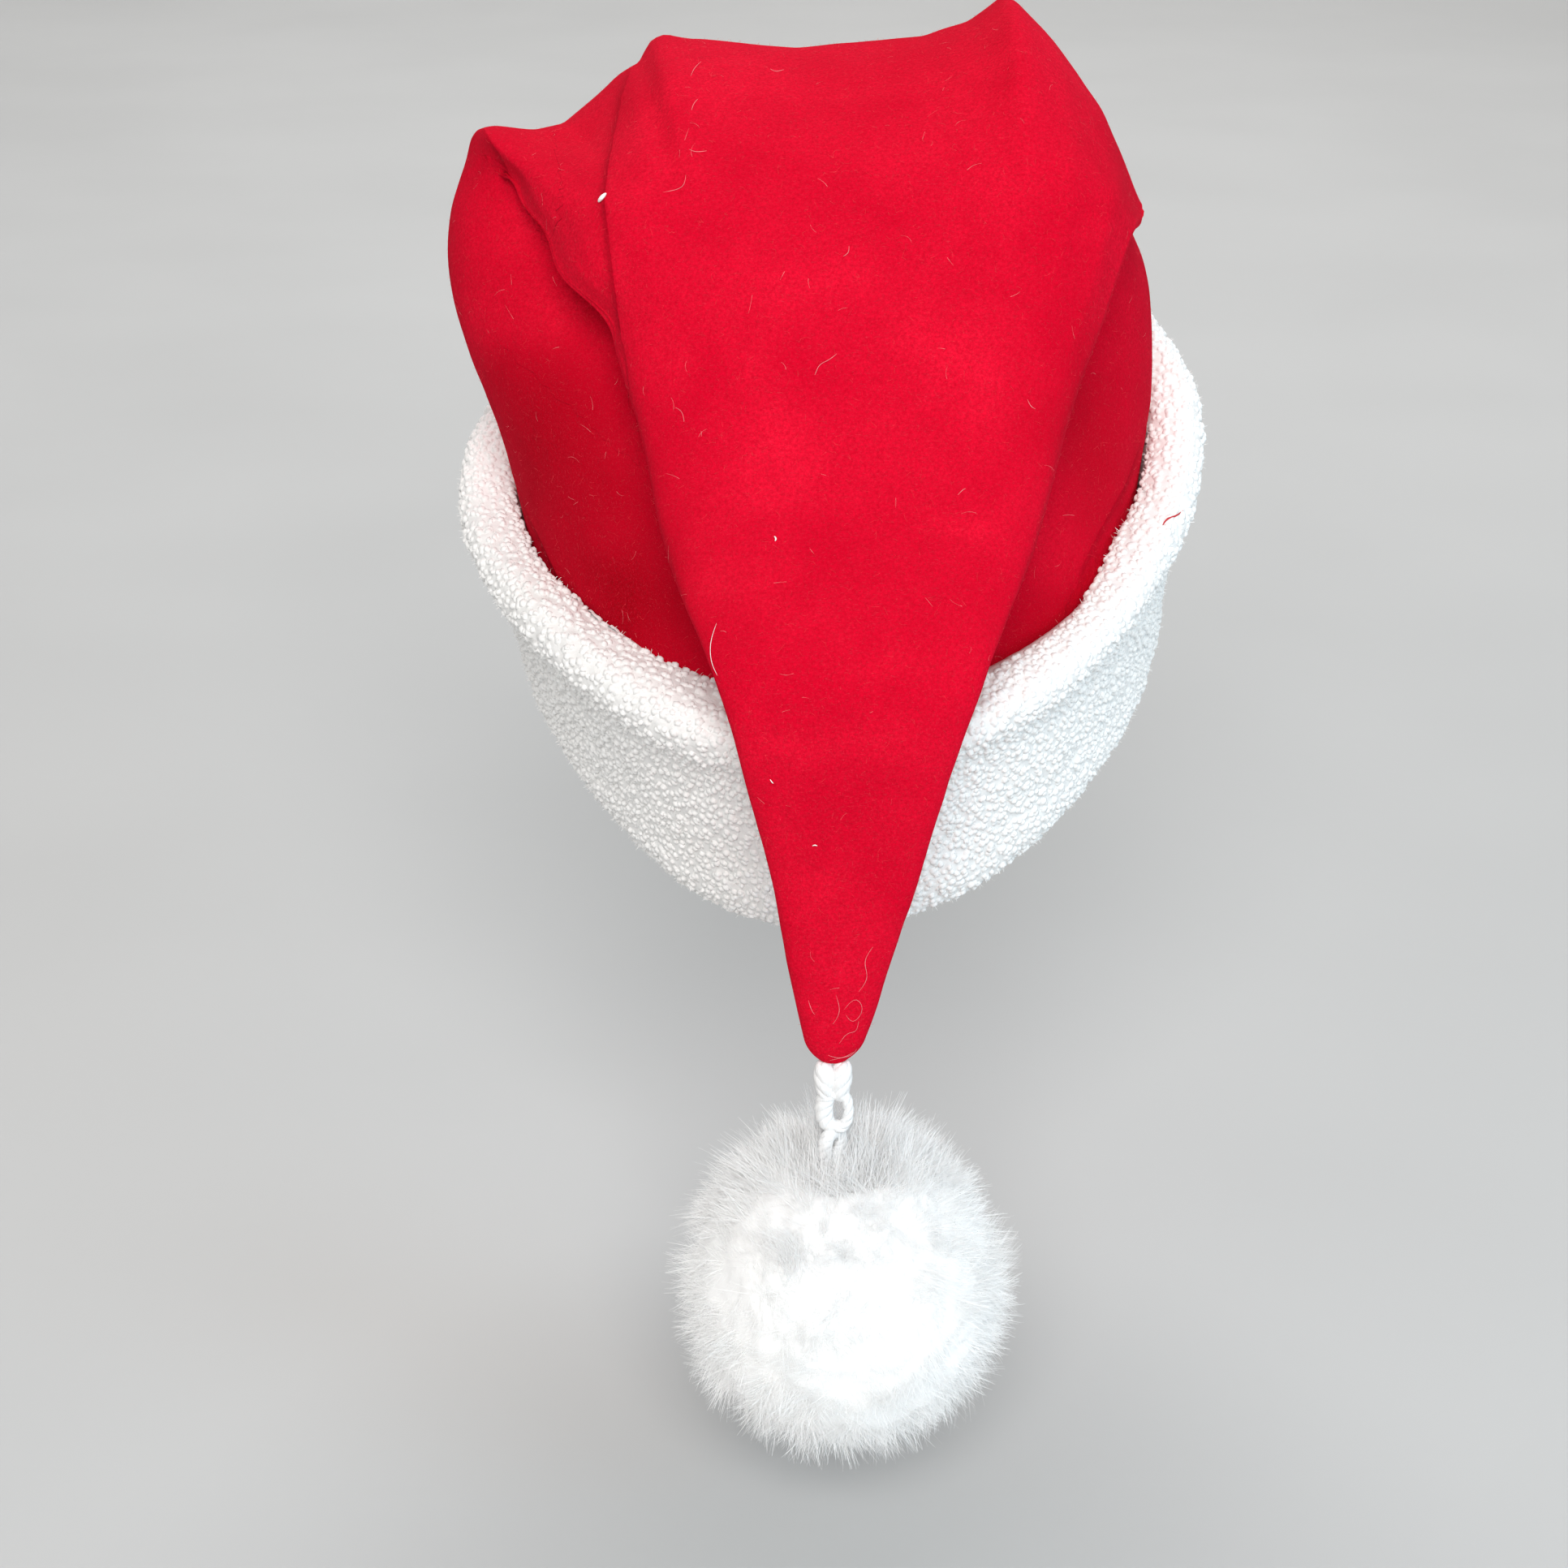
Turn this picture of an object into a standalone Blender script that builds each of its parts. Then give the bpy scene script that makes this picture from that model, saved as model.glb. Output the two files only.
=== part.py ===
"""A santa hat in the shape that it has on a head.

A felt stocking crown rises out of a deep fleece cuff, folds over at the top and hangs down one side as a
long tapering tail. A short crocheted tie at the tail's tip carries a round fur pompom.

Metres, +Z up. The tail hangs towards -Y. The origin is the middle of the head opening, in the plane of the
cuff's lower edge. The cuff leans towards the tail, as the band of a hat does between forehead and nape.
"""

import math
import random

import bmesh
import bpy
import numpy as np
from mathutils import Matrix, Vector

# The head that the hat is made for, measured over the felt in the cuff
HEAD_WIDTH = 0.180
HEAD_LENGTH = 0.200
HEM_WIDTH = 0.162
HEM_LENGTH = 0.182
SEAT_TILT = math.radians(20)
SEAT_ROLL = math.radians(5)

# The felt crown and its tail
FELT = 0.002
HEM_LIFT = 0.003
CROWN_RISE = 0.115
TAIL_WIDTH = 0.073
TAIL_THICKNESS = 0.012
TAIL_DROP = 0.080
TAIL_CLEARANCE = 0.003

# The fleece cuff
CUFF_HEIGHT = 0.085
CUFF_THICKNESS = 0.018
CUFF_NUB = 0.0007
SEAT_GAP = 0.0004

# The crocheted tie
YARN = 0.0042
KNOT_HEIGHT = 0.0122
KNOT_RISE = 0.0010
KNOT_LOBE_WIDTH = 0.0058
KNOT_SPREAD = math.radians(11)
STITCH_LENGTH = 0.0125
STITCH_WIDTH = 0.0110
STITCH_COUNT = 2
STITCH_BITE = 0.0022

# The fur pompom
POMPOM_DIAMETER = 0.098
POMPOM_CORE = 0.076
POMPOM_SWAY = 0.003
POMPOM_DIMPLE = 0.0005
LOCK_TAPER = 0.30

# How finely the round shapes are cut into flat faces
AROUND = 40
CROWN_RINGS = 36
YARN_SIDES = 6
YARN_TURNS = 14

# Sections of the crown in the head's own frame, from the cuff's top over the fold and down the front.
# y is a share of half of HEAD_LENGTH, z a share of CROWN_RISE above the cuff, x a share of half of HEAD_WIDTH.
# back is the face turned away from the hat's inside at the fold, front the face turned in at the fold.
# ridge and flap say how far the section has the ridge's or the flap's outline in place of an oval's.
CROWN_COLUMNS = (
    "back_y", "back_z", "front_y", "front_z",
    "left_x", "left_y", "left_z", "right_x", "right_y", "right_z",
    "squareness", "ridge", "flap",
)
CROWN_SECTIONS = {
    "cuff_top": (1.01, -0.06, -1.00, -0.06, -0.995, 0.01, -0.05, 1.005, 0.01, -0.07, 2.0, 0.0, 0.0),
    "above_cuff": (1.05, 0.13, -0.76, 0.13, -1.055, 0.15, 0.18, 1.06, 0.15, 0.09, 2.0, 0.0, 0.0),
    "belly": (0.99, 0.42, -0.51, 0.35, -1.14, 0.24, 0.46, 1.05, 0.22, 0.32, 2.0, 0.1, 0.0),
    "shoulder": (0.78, 0.70, -0.27, 0.54, -1.09, 0.27, 0.66, 1.00, 0.18, 0.49, 2.0, 0.5, 0.0),
    "turn": (0.53, 0.88, -0.12, 0.66, -1.00, 0.27, 0.74, 1.02, 0.12, 0.57, 2.0, 0.9, 0.0),
    "crest": (0.29, 0.93, -0.07, 0.70, -0.955, 0.22, 0.765, 1.03, 0.09, 0.59, 2.0, 1.0, 0.0),
    "over": (0.04, 0.93, -0.11, 0.69, -0.90, 0.09, 0.76, 1.02, 0.02, 0.60, 2.2, 0.7, 0.3),
    "flap_top": (-0.24, 0.86, -0.21, 0.65, -0.785, -0.20, 0.73, 0.975, -0.16, 0.67, 2.5, 0.1, 0.9),
    "flap": (-0.42, 0.75, -0.35, 0.56, -0.645, -0.37, 0.665, 0.89, -0.35, 0.595, 2.8, 0.0, 0.7),
    "flap_foot": (-0.57, 0.64, -0.49, 0.47, -0.535, -0.53, 0.565, 0.80, -0.52, 0.51, 3.0, 0.0, 0.3),
    "before_cuff": (-0.885, 0.40, -0.81, 0.24, -0.45, -0.85, 0.345, 0.64, -0.85, 0.295, 3.0, 0.0, 0.0),
}

# Sections of the hanging tail in the part's own frame. z is a share of TAIL_DROP above the cuff's front rim,
# off a share of TAIL_THICKNESS by which the inner face stands off the hanging line, thick a share of
# TAIL_THICKNESS, and x a share of half of TAIL_WIDTH.
TAIL_COLUMNS = ("z", "off", "thick", "left_x", "right_x", "squareness")
TAIL_SECTIONS = {
    "over_rim": (0.40, -0.30, 1.20, -1.05, 0.90, 3.0),
    "hanging": (0.00, 0.15, 0.95, -0.79, 0.62, 3.0),
    "below_cuff": (-0.42, 0.15, 0.82, -0.59, 0.38, 2.8),
    "narrow": (-0.78, 0.15, 0.72, -0.445, 0.165, 2.6),
    "tip": (-1.00, 0.20, 0.60, -0.35, 0.01, 2.4),
}

# The height of the fold above the chord between its two corners, in shares of its height at the middle,
# against the place along the chord: an ear on the left, a notch, a left peak, a sag and a right peak.
RIDGE_OUTLINE = (
    (-1.0, 0.0), (-0.985, 0.26), (-0.93, 0.29), (-0.80, 0.24), (-0.70, 0.28), (-0.54, 0.71), (-0.475, 0.80),
    (-0.445, 0.97), (-0.40, 1.03), (-0.33, 0.985), (0.0, 0.96), (0.16, 1.035), (0.39, 1.12), (0.53, 1.275),
    (0.585, 1.39), (0.63, 1.49), (0.67, 1.47), (0.76, 1.23), (0.85, 0.91), (0.90, 0.73), (0.95, 0.38), (1.0, 0.0),
)
# The same across the top of the flap: a sloping facet on the left, a crease, and a flat face.
FLAP_OUTLINE = (
    (-1.0, 0.0), (-0.97, 0.35), (-0.90, 0.60), (-0.72, 0.97), (-0.55, 1.03), (0.0, 1.0), (0.5, 1.05),
    (0.80, 0.95), (0.94, 0.60), (1.0, 0.0),
)

# The cuff's section, from the felt at its foot round under, out and up its face, over the roll and back down
# to the felt: height in shares of CUFF_HEIGHT, distance from the felt in shares of CUFF_THICKNESS.
CUFF_SECTION = (
    (0.05, 0.0), (0.0, 0.30), (0.015, 0.58), (0.08, 0.76), (0.30, 0.78), (0.50, 0.78), (0.68, 0.82),
    (0.80, 0.92), (0.925, 1.04), (0.985, 0.88), (1.0, 0.60), (0.965, 0.28), (0.90, 0.0), (0.48, 0.0),
)
# How the cuff's roll and foot stray from an even ring, by the bearing round it in degrees, from the right over
# the back to the left and the front: outwards and upwards, in shares of CUFF_THICKNESS.
CUFF_COLUMNS = ("bearing", "roll_out", "roll_up", "foot_out", "foot_up")
CUFF_SWAY = (
    (0, -0.02, 0.17, -0.09, 0.03),
    (45, 0.20, 0.11, 0.07, -0.01),
    (90, 0.0, 0.0, 0.0, 0.0),
    (135, -0.08, -0.06, 0.02, -0.06),
    (180, -0.02, -0.04, 0.04, 0.19),
    (225, -0.19, 0.19, -0.29, -0.37),
    (270, 0.28, -0.22, 0.46, -0.13),
    (315, -0.14, -0.12, -0.12, 0.29),
)

MATERIALS = {
    "red_felt": ((0.62, 0.008, 0.016), 0.92),
    "white_fleece": ((0.84, 0.83, 0.81), 0.95),
    "white_yarn": ((0.88, 0.88, 0.87), 0.90),
    "white_fur": ((0.90, 0.90, 0.89), 0.90),
}


def remove_all_objects():
    for old in list(bpy.data.objects):
        bpy.data.objects.remove(old)


def material(name):
    colour, roughness = MATERIALS[name]
    made = bpy.data.materials.new(name)
    made.use_nodes = True
    surface = made.node_tree.nodes["Principled BSDF"]
    surface.inputs["Base Color"].default_value = (*colour, 1.0)
    surface.inputs["Roughness"].default_value = roughness
    surface.inputs["Metallic"].default_value = 0.0
    return made


def add_object(name, mesh, material_name):
    """Adds the mesh as an object of that name, smooth apart from its sharp edges."""
    mesh.materials.append(material(material_name))
    mesh.shade_smooth()
    mesh.set_sharp_from_angle(angle=math.radians(50))
    added = bpy.data.objects.new(name, mesh)
    bpy.context.scene.collection.objects.link(added)
    return added


def head_to_part(points):
    """Turns points of the head's own frame, where the cuff is level, into the part's frame."""
    x, y, z = np.moveaxis(np.asarray(points, float), -1, 0)
    rolled_x = x * math.cos(SEAT_ROLL) - z * math.sin(SEAT_ROLL)
    rolled_z = x * math.sin(SEAT_ROLL) + z * math.cos(SEAT_ROLL)
    cosine, sine = math.cos(SEAT_TILT), math.sin(SEAT_TILT)
    return np.stack([rolled_x, y * cosine - rolled_z * sine, y * sine + rolled_z * cosine], axis=-1)


def natural_spline(knots, values, at):
    """A curve through the values at the knots with no bend at its ends, read at the places in at."""
    steps = np.diff(knots)
    count = len(knots)
    system = np.eye(count)
    right = np.zeros((count, values.shape[1]))
    for row in range(1, count - 1):
        system[row, row - 1 : row + 2] = steps[row - 1], 2 * (steps[row - 1] + steps[row]), steps[row]
        slopes = (values[row + 1] - values[row]) / steps[row] - (values[row] - values[row - 1]) / steps[row - 1]
        right[row] = 6 * slopes
    bends = np.linalg.solve(system, right)
    span = np.clip(np.searchsorted(knots, at, side="right") - 1, 0, count - 2)
    width = steps[span][:, None]
    after = (at - knots[span])[:, None]
    before = width - after
    cubic = (bends[span] * before**3 + bends[span + 1] * after**3) / (6 * width)
    first = (values[span] / width - bends[span] * width / 6) * before
    second = (values[span + 1] / width - bends[span + 1] * width / 6) * after
    return cubic + first + second


def cuff_sway(bearings):
    """The four stray distances of the cuff at each bearing, in metres, on a smooth closed curve."""
    table = np.array(CUFF_SWAY)
    thrice = np.concatenate([table - (360, 0, 0, 0, 0), table, table + (360, 0, 0, 0, 0)])
    return natural_spline(thrice[:, 0], thrice[:, 1:], np.degrees(bearings) % 360) * CUFF_THICKNESS


def cuff_face(height, off, sway):
    """Height up the cuff and distance off the felt of a point of CUFF_SECTION, strayed by its bearing."""
    roll_out, roll_up, foot_out, foot_up = sway
    share = min(max(height, 0.0), 1.0)
    loose = min(off / 0.6, 1.0)
    up = height * CUFF_HEIGHT + loose * (share * roll_up + (1 - share) * foot_up)
    return up, off * CUFF_THICKNESS + loose * (share * roll_out + (1 - share) * foot_out)


def cuff_front():
    """The y and z, in the part's frame, of the outermost point of the cuff's roll below the tail."""
    sway = cuff_sway(np.array([1.5 * math.pi]))[0]
    felt = CROWN_SECTIONS["cuff_top"][2] * HEAD_LENGTH / 2 - SEAT_GAP - CUFF_NUB
    faces = [cuff_face(height, off, sway) for height, off in CUFF_SECTION]
    round_it = head_to_part([(0.0, felt - off, height) for height, off in faces])
    return round_it[np.argmin(round_it[:, 1])][1:]


def guide_rows():
    """The four guide lines of the crown and the tail, row by row, and each row's outline weights.

    back and front run along the middle of the two faces, left and right along the two side edges.
    """
    half_width, half_length = HEAD_WIDTH / 2, HEAD_LENGTH / 2
    guides, weights = [], []
    for row in CROWN_SECTIONS.values():
        cell = dict(zip(CROWN_COLUMNS, row))
        middle = (cell["left_x"] + cell["right_x"]) / 2
        shares = [
            (middle, cell["back_y"], cell["back_z"]),
            (middle, cell["front_y"], cell["front_z"]),
            (cell["left_x"], cell["left_y"], cell["left_z"]),
            (cell["right_x"], cell["right_y"], cell["right_z"]),
        ]
        in_head = [
            (x * half_width, y * half_length, CUFF_HEIGHT + z * CROWN_RISE) for x, y, z in shares
        ]
        guides.append(head_to_part(in_head))
        weights.append((cell["squareness"], cell["ridge"], cell["flap"]))
    rim_y, rim_z = cuff_front()
    for row in TAIL_SECTIONS.values():
        cell = dict(zip(TAIL_COLUMNS, row))
        inner = rim_y - TAIL_CLEARANCE - cell["off"] * TAIL_THICKNESS
        outer = inner - cell["thick"] * TAIL_THICKNESS
        left, right = cell["left_x"] * TAIL_WIDTH / 2, cell["right_x"] * TAIL_WIDTH / 2
        height = rim_z + cell["z"] * TAIL_DROP
        centre = (inner + outer) / 2
        guides.append(
            [
                ((left + right) / 2, outer, height),
                ((left + right) / 2, inner, height),
                (left, centre, height),
                (right, centre, height),
            ]
        )
        weights.append((cell["squareness"], 0.0, 0.0))
    return np.array(guides), np.array(weights)


def crown_sections(rings):
    """Guide points and outline weights at evenly spaced rings from the cuff's top to the tail's tip."""
    guides, weights = guide_rows()
    steps = np.linalg.norm(np.diff(guides, axis=0), axis=2).mean(axis=1)
    knots = np.concatenate([[0.0], np.cumsum(steps)])
    columns = np.concatenate([guides.reshape(len(guides), -1), weights], axis=1)
    read = natural_spline(knots, columns, np.linspace(0.0, knots[-1], rings))
    return read[:, :12].reshape(rings, 4, 3), read[:, 12:]


def outline(points, at):
    """Height at the places in at of the line through the points of an outline table."""
    table = np.array(points)
    return np.interp(at, table[:, 0], table[:, 1])


def section_ring(guide, weight, around):
    """One closed ring of points: from the left edge over the back to the right edge and home over the front.

    Each face is the chord from edge to edge, raised by the face's height times a superellipse, which
    the ridge's or the flap's own outline replaces on the back face.
    """
    back, front, left, right = guide
    squareness, ridge, flap = weight
    centre = (left + right) / 2
    angle = np.linspace(0.0, math.pi, around // 2 + 1)
    place = -np.sign(np.cos(angle)) * np.abs(np.cos(angle)) ** (2 / squareness)
    height = np.abs(np.sin(angle)) ** (2 / squareness)
    oval = 1 - ridge - flap
    raised = oval * height + ridge * outline(RIDGE_OUTLINE, place) + flap * outline(FLAP_OUTLINE, place)
    raised[[0, -1]] = 0.0
    chord = centre + place[:, None] * (right - left) / 2
    over = chord + raised[:, None] * (back - centre)
    home = chord + height[:, None] * (front - centre)
    return np.concatenate([over[:-1], home[:0:-1]])


def hem_ring(around):
    """The felt's lower edge, level in the head's frame, inside the cuff."""
    angle = np.linspace(0.0, 2 * math.pi, around, endpoint=False)
    ring = [-np.cos(angle) * HEM_WIDTH / 2, np.sin(angle) * HEM_LENGTH / 2, np.full(around, HEM_LIFT)]
    return head_to_part(np.stack(ring, axis=-1))


def felt_outside(rings, around):
    """Rings of the felt's outer face from the hem to the tail's tip."""
    guides, weights = crown_sections(rings)
    rows = [section_ring(guide, weight, around) for guide, weight in zip(guides, weights)]
    return np.array([hem_ring(around), *rows])


def felt_inside(outside):
    """The felt's inner face: every point moved in by the felt's thickness, less where the tube is flat.

    At the two side edges, where both faces meet, the points move along the chord and not along the normal.
    """
    around = outside.shape[1]
    left, right = outside[:, :1], outside[:, around // 2 : around // 2 + 1]
    half_chord = np.linalg.norm(right - left, axis=2, keepdims=True) / 2
    along = (right - left) / (2 * half_chord)
    place = ((outside - (left + right) / 2) * along).sum(axis=2, keepdims=True) / half_chord
    place = np.clip(place, -1.0, 1.0)
    edge = place**8
    round_step = np.roll(outside, -1, axis=1) - np.roll(outside, 1, axis=1)
    normal = np.cross(np.gradient(outside, axis=0), round_step)
    normal /= np.linalg.norm(normal, axis=2, keepdims=True)
    normal -= edge * (normal * along).sum(axis=2, keepdims=True) * along
    opposite = outside[:, -np.arange(around) % around]
    gap = np.linalg.norm(outside - opposite, axis=2, keepdims=True)
    depth = np.minimum(FELT, 0.36 * gap)
    return outside - normal * depth - np.sign(place) * edge * FELT * along


def grid_faces(bm, rows, around):
    """Two triangles for each step round between one ring of vertices and the next."""
    for lower, upper in zip(rows[:-1], rows[1:]):
        for k in range(around):
            after = (k + 1) % around
            bm.faces.new((lower[k], lower[after], upper[after]))
            bm.faces.new((lower[k], upper[after], upper[k]))


def fan(bm, ring, tip):
    """Triangles from a ring of vertices to one point."""
    end = bm.verts.new(tip)
    for k, vertex in enumerate(ring):
        bm.faces.new((vertex, ring[(k + 1) % len(ring)], end))


def finished(bm, name):
    """The bmesh as a mesh of triangles whose faces point outwards."""
    bmesh.ops.recalc_face_normals(bm, faces=bm.faces)
    bmesh.ops.triangulate(bm, faces=bm.faces)
    mesh = bpy.data.meshes.new(name)
    bm.to_mesh(mesh)
    bm.free()
    return mesh


def build_crown():
    """A felt tube: an outer and an inner skin joined at the hem, each closed at the tail's tip."""
    outside = felt_outside(CROWN_RINGS, AROUND)
    inside = felt_inside(outside)[:-1]
    bm = bmesh.new()
    outer_rows = [[bm.verts.new(point) for point in row] for row in outside]
    inner_rows = [[bm.verts.new(point) for point in row] for row in inside]
    grid_faces(bm, outer_rows, AROUND)
    grid_faces(bm, inner_rows, AROUND)
    grid_faces(bm, [inner_rows[0], outer_rows[0]], AROUND)
    fan(bm, outer_rows[-1], tail_tip())
    fan(bm, inner_rows[-1], inside[-1].mean(axis=0))
    return add_object("felt_crown", finished(bm, "felt_crown"), "red_felt")


def build_cuff():
    """A padded ring round the felt, with a low nub at every other corner of its outer face."""
    foot, top = felt_outside(CROWN_RINGS, AROUND)[:2]
    top_height = CUFF_HEIGHT + CROWN_SECTIONS["cuff_top"][1] * CROWN_RISE
    axis = head_to_part([0.0, 0.0, 1.0])
    outward = (foot + top) / 2 - (foot + top).mean(axis=0) / 2
    outward -= np.outer(outward @ axis, axis)
    outward /= np.linalg.norm(outward, axis=1)[:, None]
    right, back = head_to_part([1.0, 0.0, 0.0]), head_to_part([0.0, 1.0, 0.0])
    sways = cuff_sway(np.arctan2(outward @ back, outward @ right))
    bm = bmesh.new()
    rows = []
    for step, (height, off) in enumerate(CUFF_SECTION):
        row = []
        for k in range(AROUND):
            up, out = cuff_face(height, off, sways[k])
            nub = CUFF_NUB if off > 0.5 and (k + step) % 2 else 0.0
            share = (up - HEM_LIFT) / (top_height - HEM_LIFT)
            on_felt = foot[k] + (top[k] - foot[k]) * min(share, 1.0)
            on_felt = on_felt + axis * max(up - top_height, 0.0)
            row.append(bm.verts.new(on_felt + outward[k] * (SEAT_GAP + out + nub)))
        rows.append(row)
    grid_faces(bm, [*rows, rows[0]], AROUND)
    return add_object("fleece_cuff", finished(bm, "fleece_cuff"), "white_fleece")


def tail_tip():
    """The lowest point of the tail."""
    return felt_outside(CROWN_RINGS, AROUND)[-1].mean(axis=0) - np.array([0.0, 0.0, FELT])


def tie_top():
    """The middle of the tie's top, whose two lobes reach up a little beside the tail's lowest point."""
    return tail_tip() - np.array([0.0, 0.0, SEAT_GAP - KNOT_RISE])


def tie_length():
    return KNOT_HEIGHT + STITCH_COUNT * (STITCH_LENGTH - STITCH_BITE)


def build_tie():
    """Crochet from the tail's tip down into the pompom: a knot of two fat lobes, then stitches in a chain."""
    hang = tie_top()
    pieces = [add_object("crochet_tie", knot_lobe(hang, -1), "white_yarn")]
    pieces.append(add_object("knot_lobe", knot_lobe(hang, 1), "white_yarn"))
    top = hang[2] - KNOT_HEIGHT + STITCH_BITE
    for k in range(STITCH_COUNT):
        centre = np.array([hang[0], hang[1], top - STITCH_LENGTH / 2 - k * (STITCH_LENGTH - STITCH_BITE)])
        turn = math.radians(-8 if k % 2 == 0 else 50)
        pieces.append(add_object(f"stitch_{k}", oval_stitch(centre, turn), "white_yarn"))
    for piece in pieces[1:]:
        join = pieces[0].modifiers.new(piece.name, "BOOLEAN")
        join.operation = "UNION"
        join.object = piece
        piece.hide_render = True
        piece.display_type = "WIRE"
    return pieces[0]


def knot_lobe(hang, side):
    """One upright egg of wound yarn below the tail's tip, its top leaning away from the other lobe."""
    bm = bmesh.new()
    bmesh.ops.create_uvsphere(bm, u_segments=10, v_segments=8, radius=0.5)
    shape = Matrix.Diagonal((KNOT_LOBE_WIDTH, KNOT_LOBE_WIDTH, KNOT_HEIGHT, 1.0))
    lean = Matrix.Rotation(side * KNOT_SPREAD, 4, "Y")
    bm.transform(lean @ shape)
    top = max(vertex.co.z for vertex in bm.verts)
    bottom = min(vertex.co.z for vertex in bm.verts)
    bm.transform(Matrix.Scale(KNOT_HEIGHT / (top - bottom), 4, (0, 0, 1)))
    place = Vector(hang) + Vector((side * (STITCH_WIDTH - KNOT_LOBE_WIDTH) * 0.42, 0.0, -KNOT_HEIGHT / 2))
    bm.transform(Matrix.Translation(place))
    return finished(bm, "knot_lobe")


def oval_stitch(centre, turn):
    """One stitch: yarn round an upright oval with a hole, turned about its upright axis."""
    half_length, half_width = (STITCH_LENGTH - YARN) / 2, (STITCH_WIDTH - YARN) / 2
    bm = bmesh.new()
    rows = []
    for step in range(YARN_TURNS):
        angle = 2 * math.pi * step / YARN_TURNS
        row = []
        for side in range(YARN_SIDES):
            around = 2 * math.pi * side / YARN_SIDES
            out, depth = YARN / 2 * math.cos(around), YARN / 2 * math.sin(around)
            flat = math.sin(angle) * (half_width + out)
            x = flat * math.cos(turn) - depth * math.sin(turn)
            y = flat * math.sin(turn) + depth * math.cos(turn)
            row.append(bm.verts.new(centre + np.array([x, y, math.cos(angle) * (half_length + out)])))
        rows.append(row)
    grid_faces(bm, [*rows, rows[0]], YARN_SIDES)
    return finished(bm, "stitch")


def build_pompom():
    """A ball of fur: a round core with a blunt lock drawn out of every face but those round the tie."""
    x, y, z = tie_top()
    core_top = z - tie_length() - SEAT_GAP + POMPOM_DIMPLE
    centre = Vector((x + POMPOM_SWAY, y, core_top - POMPOM_CORE / 2))
    lock = (POMPOM_DIAMETER - POMPOM_CORE) / 2
    chance = random.Random(7)
    bm = bmesh.new()
    bmesh.ops.create_icosphere(bm, subdivisions=3, radius=POMPOM_CORE / 2)
    for vertex in bm.verts:
        vertex.co += centre
    bare = math.cos(math.asin(min(1.0, (STITCH_WIDTH * 0.9) / (POMPOM_CORE / 2))))
    tufts = [face for face in bm.faces if (face.calc_center_median() - centre).normalized().z < bare]
    bmesh.ops.inset_individual(bm, faces=tufts, thickness=LOCK_TAPER * lock, depth=0.0)
    for face in tufts:
        middle = face.calc_center_median()
        outward = (middle - centre).normalized()
        sideways = Vector((chance.uniform(-1, 1), chance.uniform(-1, 1), chance.uniform(-1, 1))) * lock * 0.12
        reach = lock * chance.uniform(0.82, 1.0)
        for vertex in face.verts:
            vertex.co += outward * reach + sideways
    return add_object("fur_pompom", finished(bm, "fur_pompom"), "white_fur")


remove_all_objects()
build_crown()
build_cuff()
build_tie()
build_pompom()
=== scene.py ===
import math

import bpy
import numpy as np
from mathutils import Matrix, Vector
from mathutils.bvhtree import BVHTree


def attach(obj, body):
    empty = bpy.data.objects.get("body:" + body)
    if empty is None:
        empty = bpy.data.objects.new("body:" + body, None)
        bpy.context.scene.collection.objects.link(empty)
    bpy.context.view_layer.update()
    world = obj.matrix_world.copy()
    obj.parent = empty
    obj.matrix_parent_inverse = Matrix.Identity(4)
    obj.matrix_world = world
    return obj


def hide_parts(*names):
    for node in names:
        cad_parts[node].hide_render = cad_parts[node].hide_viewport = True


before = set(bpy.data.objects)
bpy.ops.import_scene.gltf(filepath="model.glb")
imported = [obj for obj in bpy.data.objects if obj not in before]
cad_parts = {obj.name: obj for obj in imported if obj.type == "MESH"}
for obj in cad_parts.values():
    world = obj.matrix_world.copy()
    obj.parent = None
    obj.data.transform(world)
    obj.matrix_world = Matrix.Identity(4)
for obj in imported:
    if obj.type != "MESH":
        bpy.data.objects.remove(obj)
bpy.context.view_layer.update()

# Sizes of the part, in metres, as its solids have them

HEAD_WIDTH, HEAD_LENGTH = 0.180, 0.200
HEM_WIDTH, HEM_LENGTH = 0.162, 0.182
SEAT_TILT, SEAT_ROLL = math.radians(20), math.radians(5)
FELT, HEM_LIFT, CROWN_RISE = 0.002, 0.003, 0.115
TAIL_WIDTH, TAIL_THICKNESS, TAIL_DROP, TAIL_CLEARANCE = 0.073, 0.012, 0.080, 0.003
CUFF_HEIGHT, CUFF_THICKNESS, CUFF_NUB, SEAT_GAP = 0.085, 0.018, 0.0007, 0.0004
YARN, KNOT_HEIGHT, KNOT_RISE, KNOT_LOBE_WIDTH = 0.0042, 0.0122, 0.0010, 0.0058
KNOT_SPREAD = math.radians(11)
STITCH_LENGTH, STITCH_WIDTH, STITCH_COUNT, STITCH_BITE = 0.0125, 0.0110, 2, 0.0022
POMPOM_DIAMETER, POMPOM_CORE, POMPOM_SWAY, POMPOM_DIMPLE = 0.098, 0.076, 0.003, 0.0005

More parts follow.
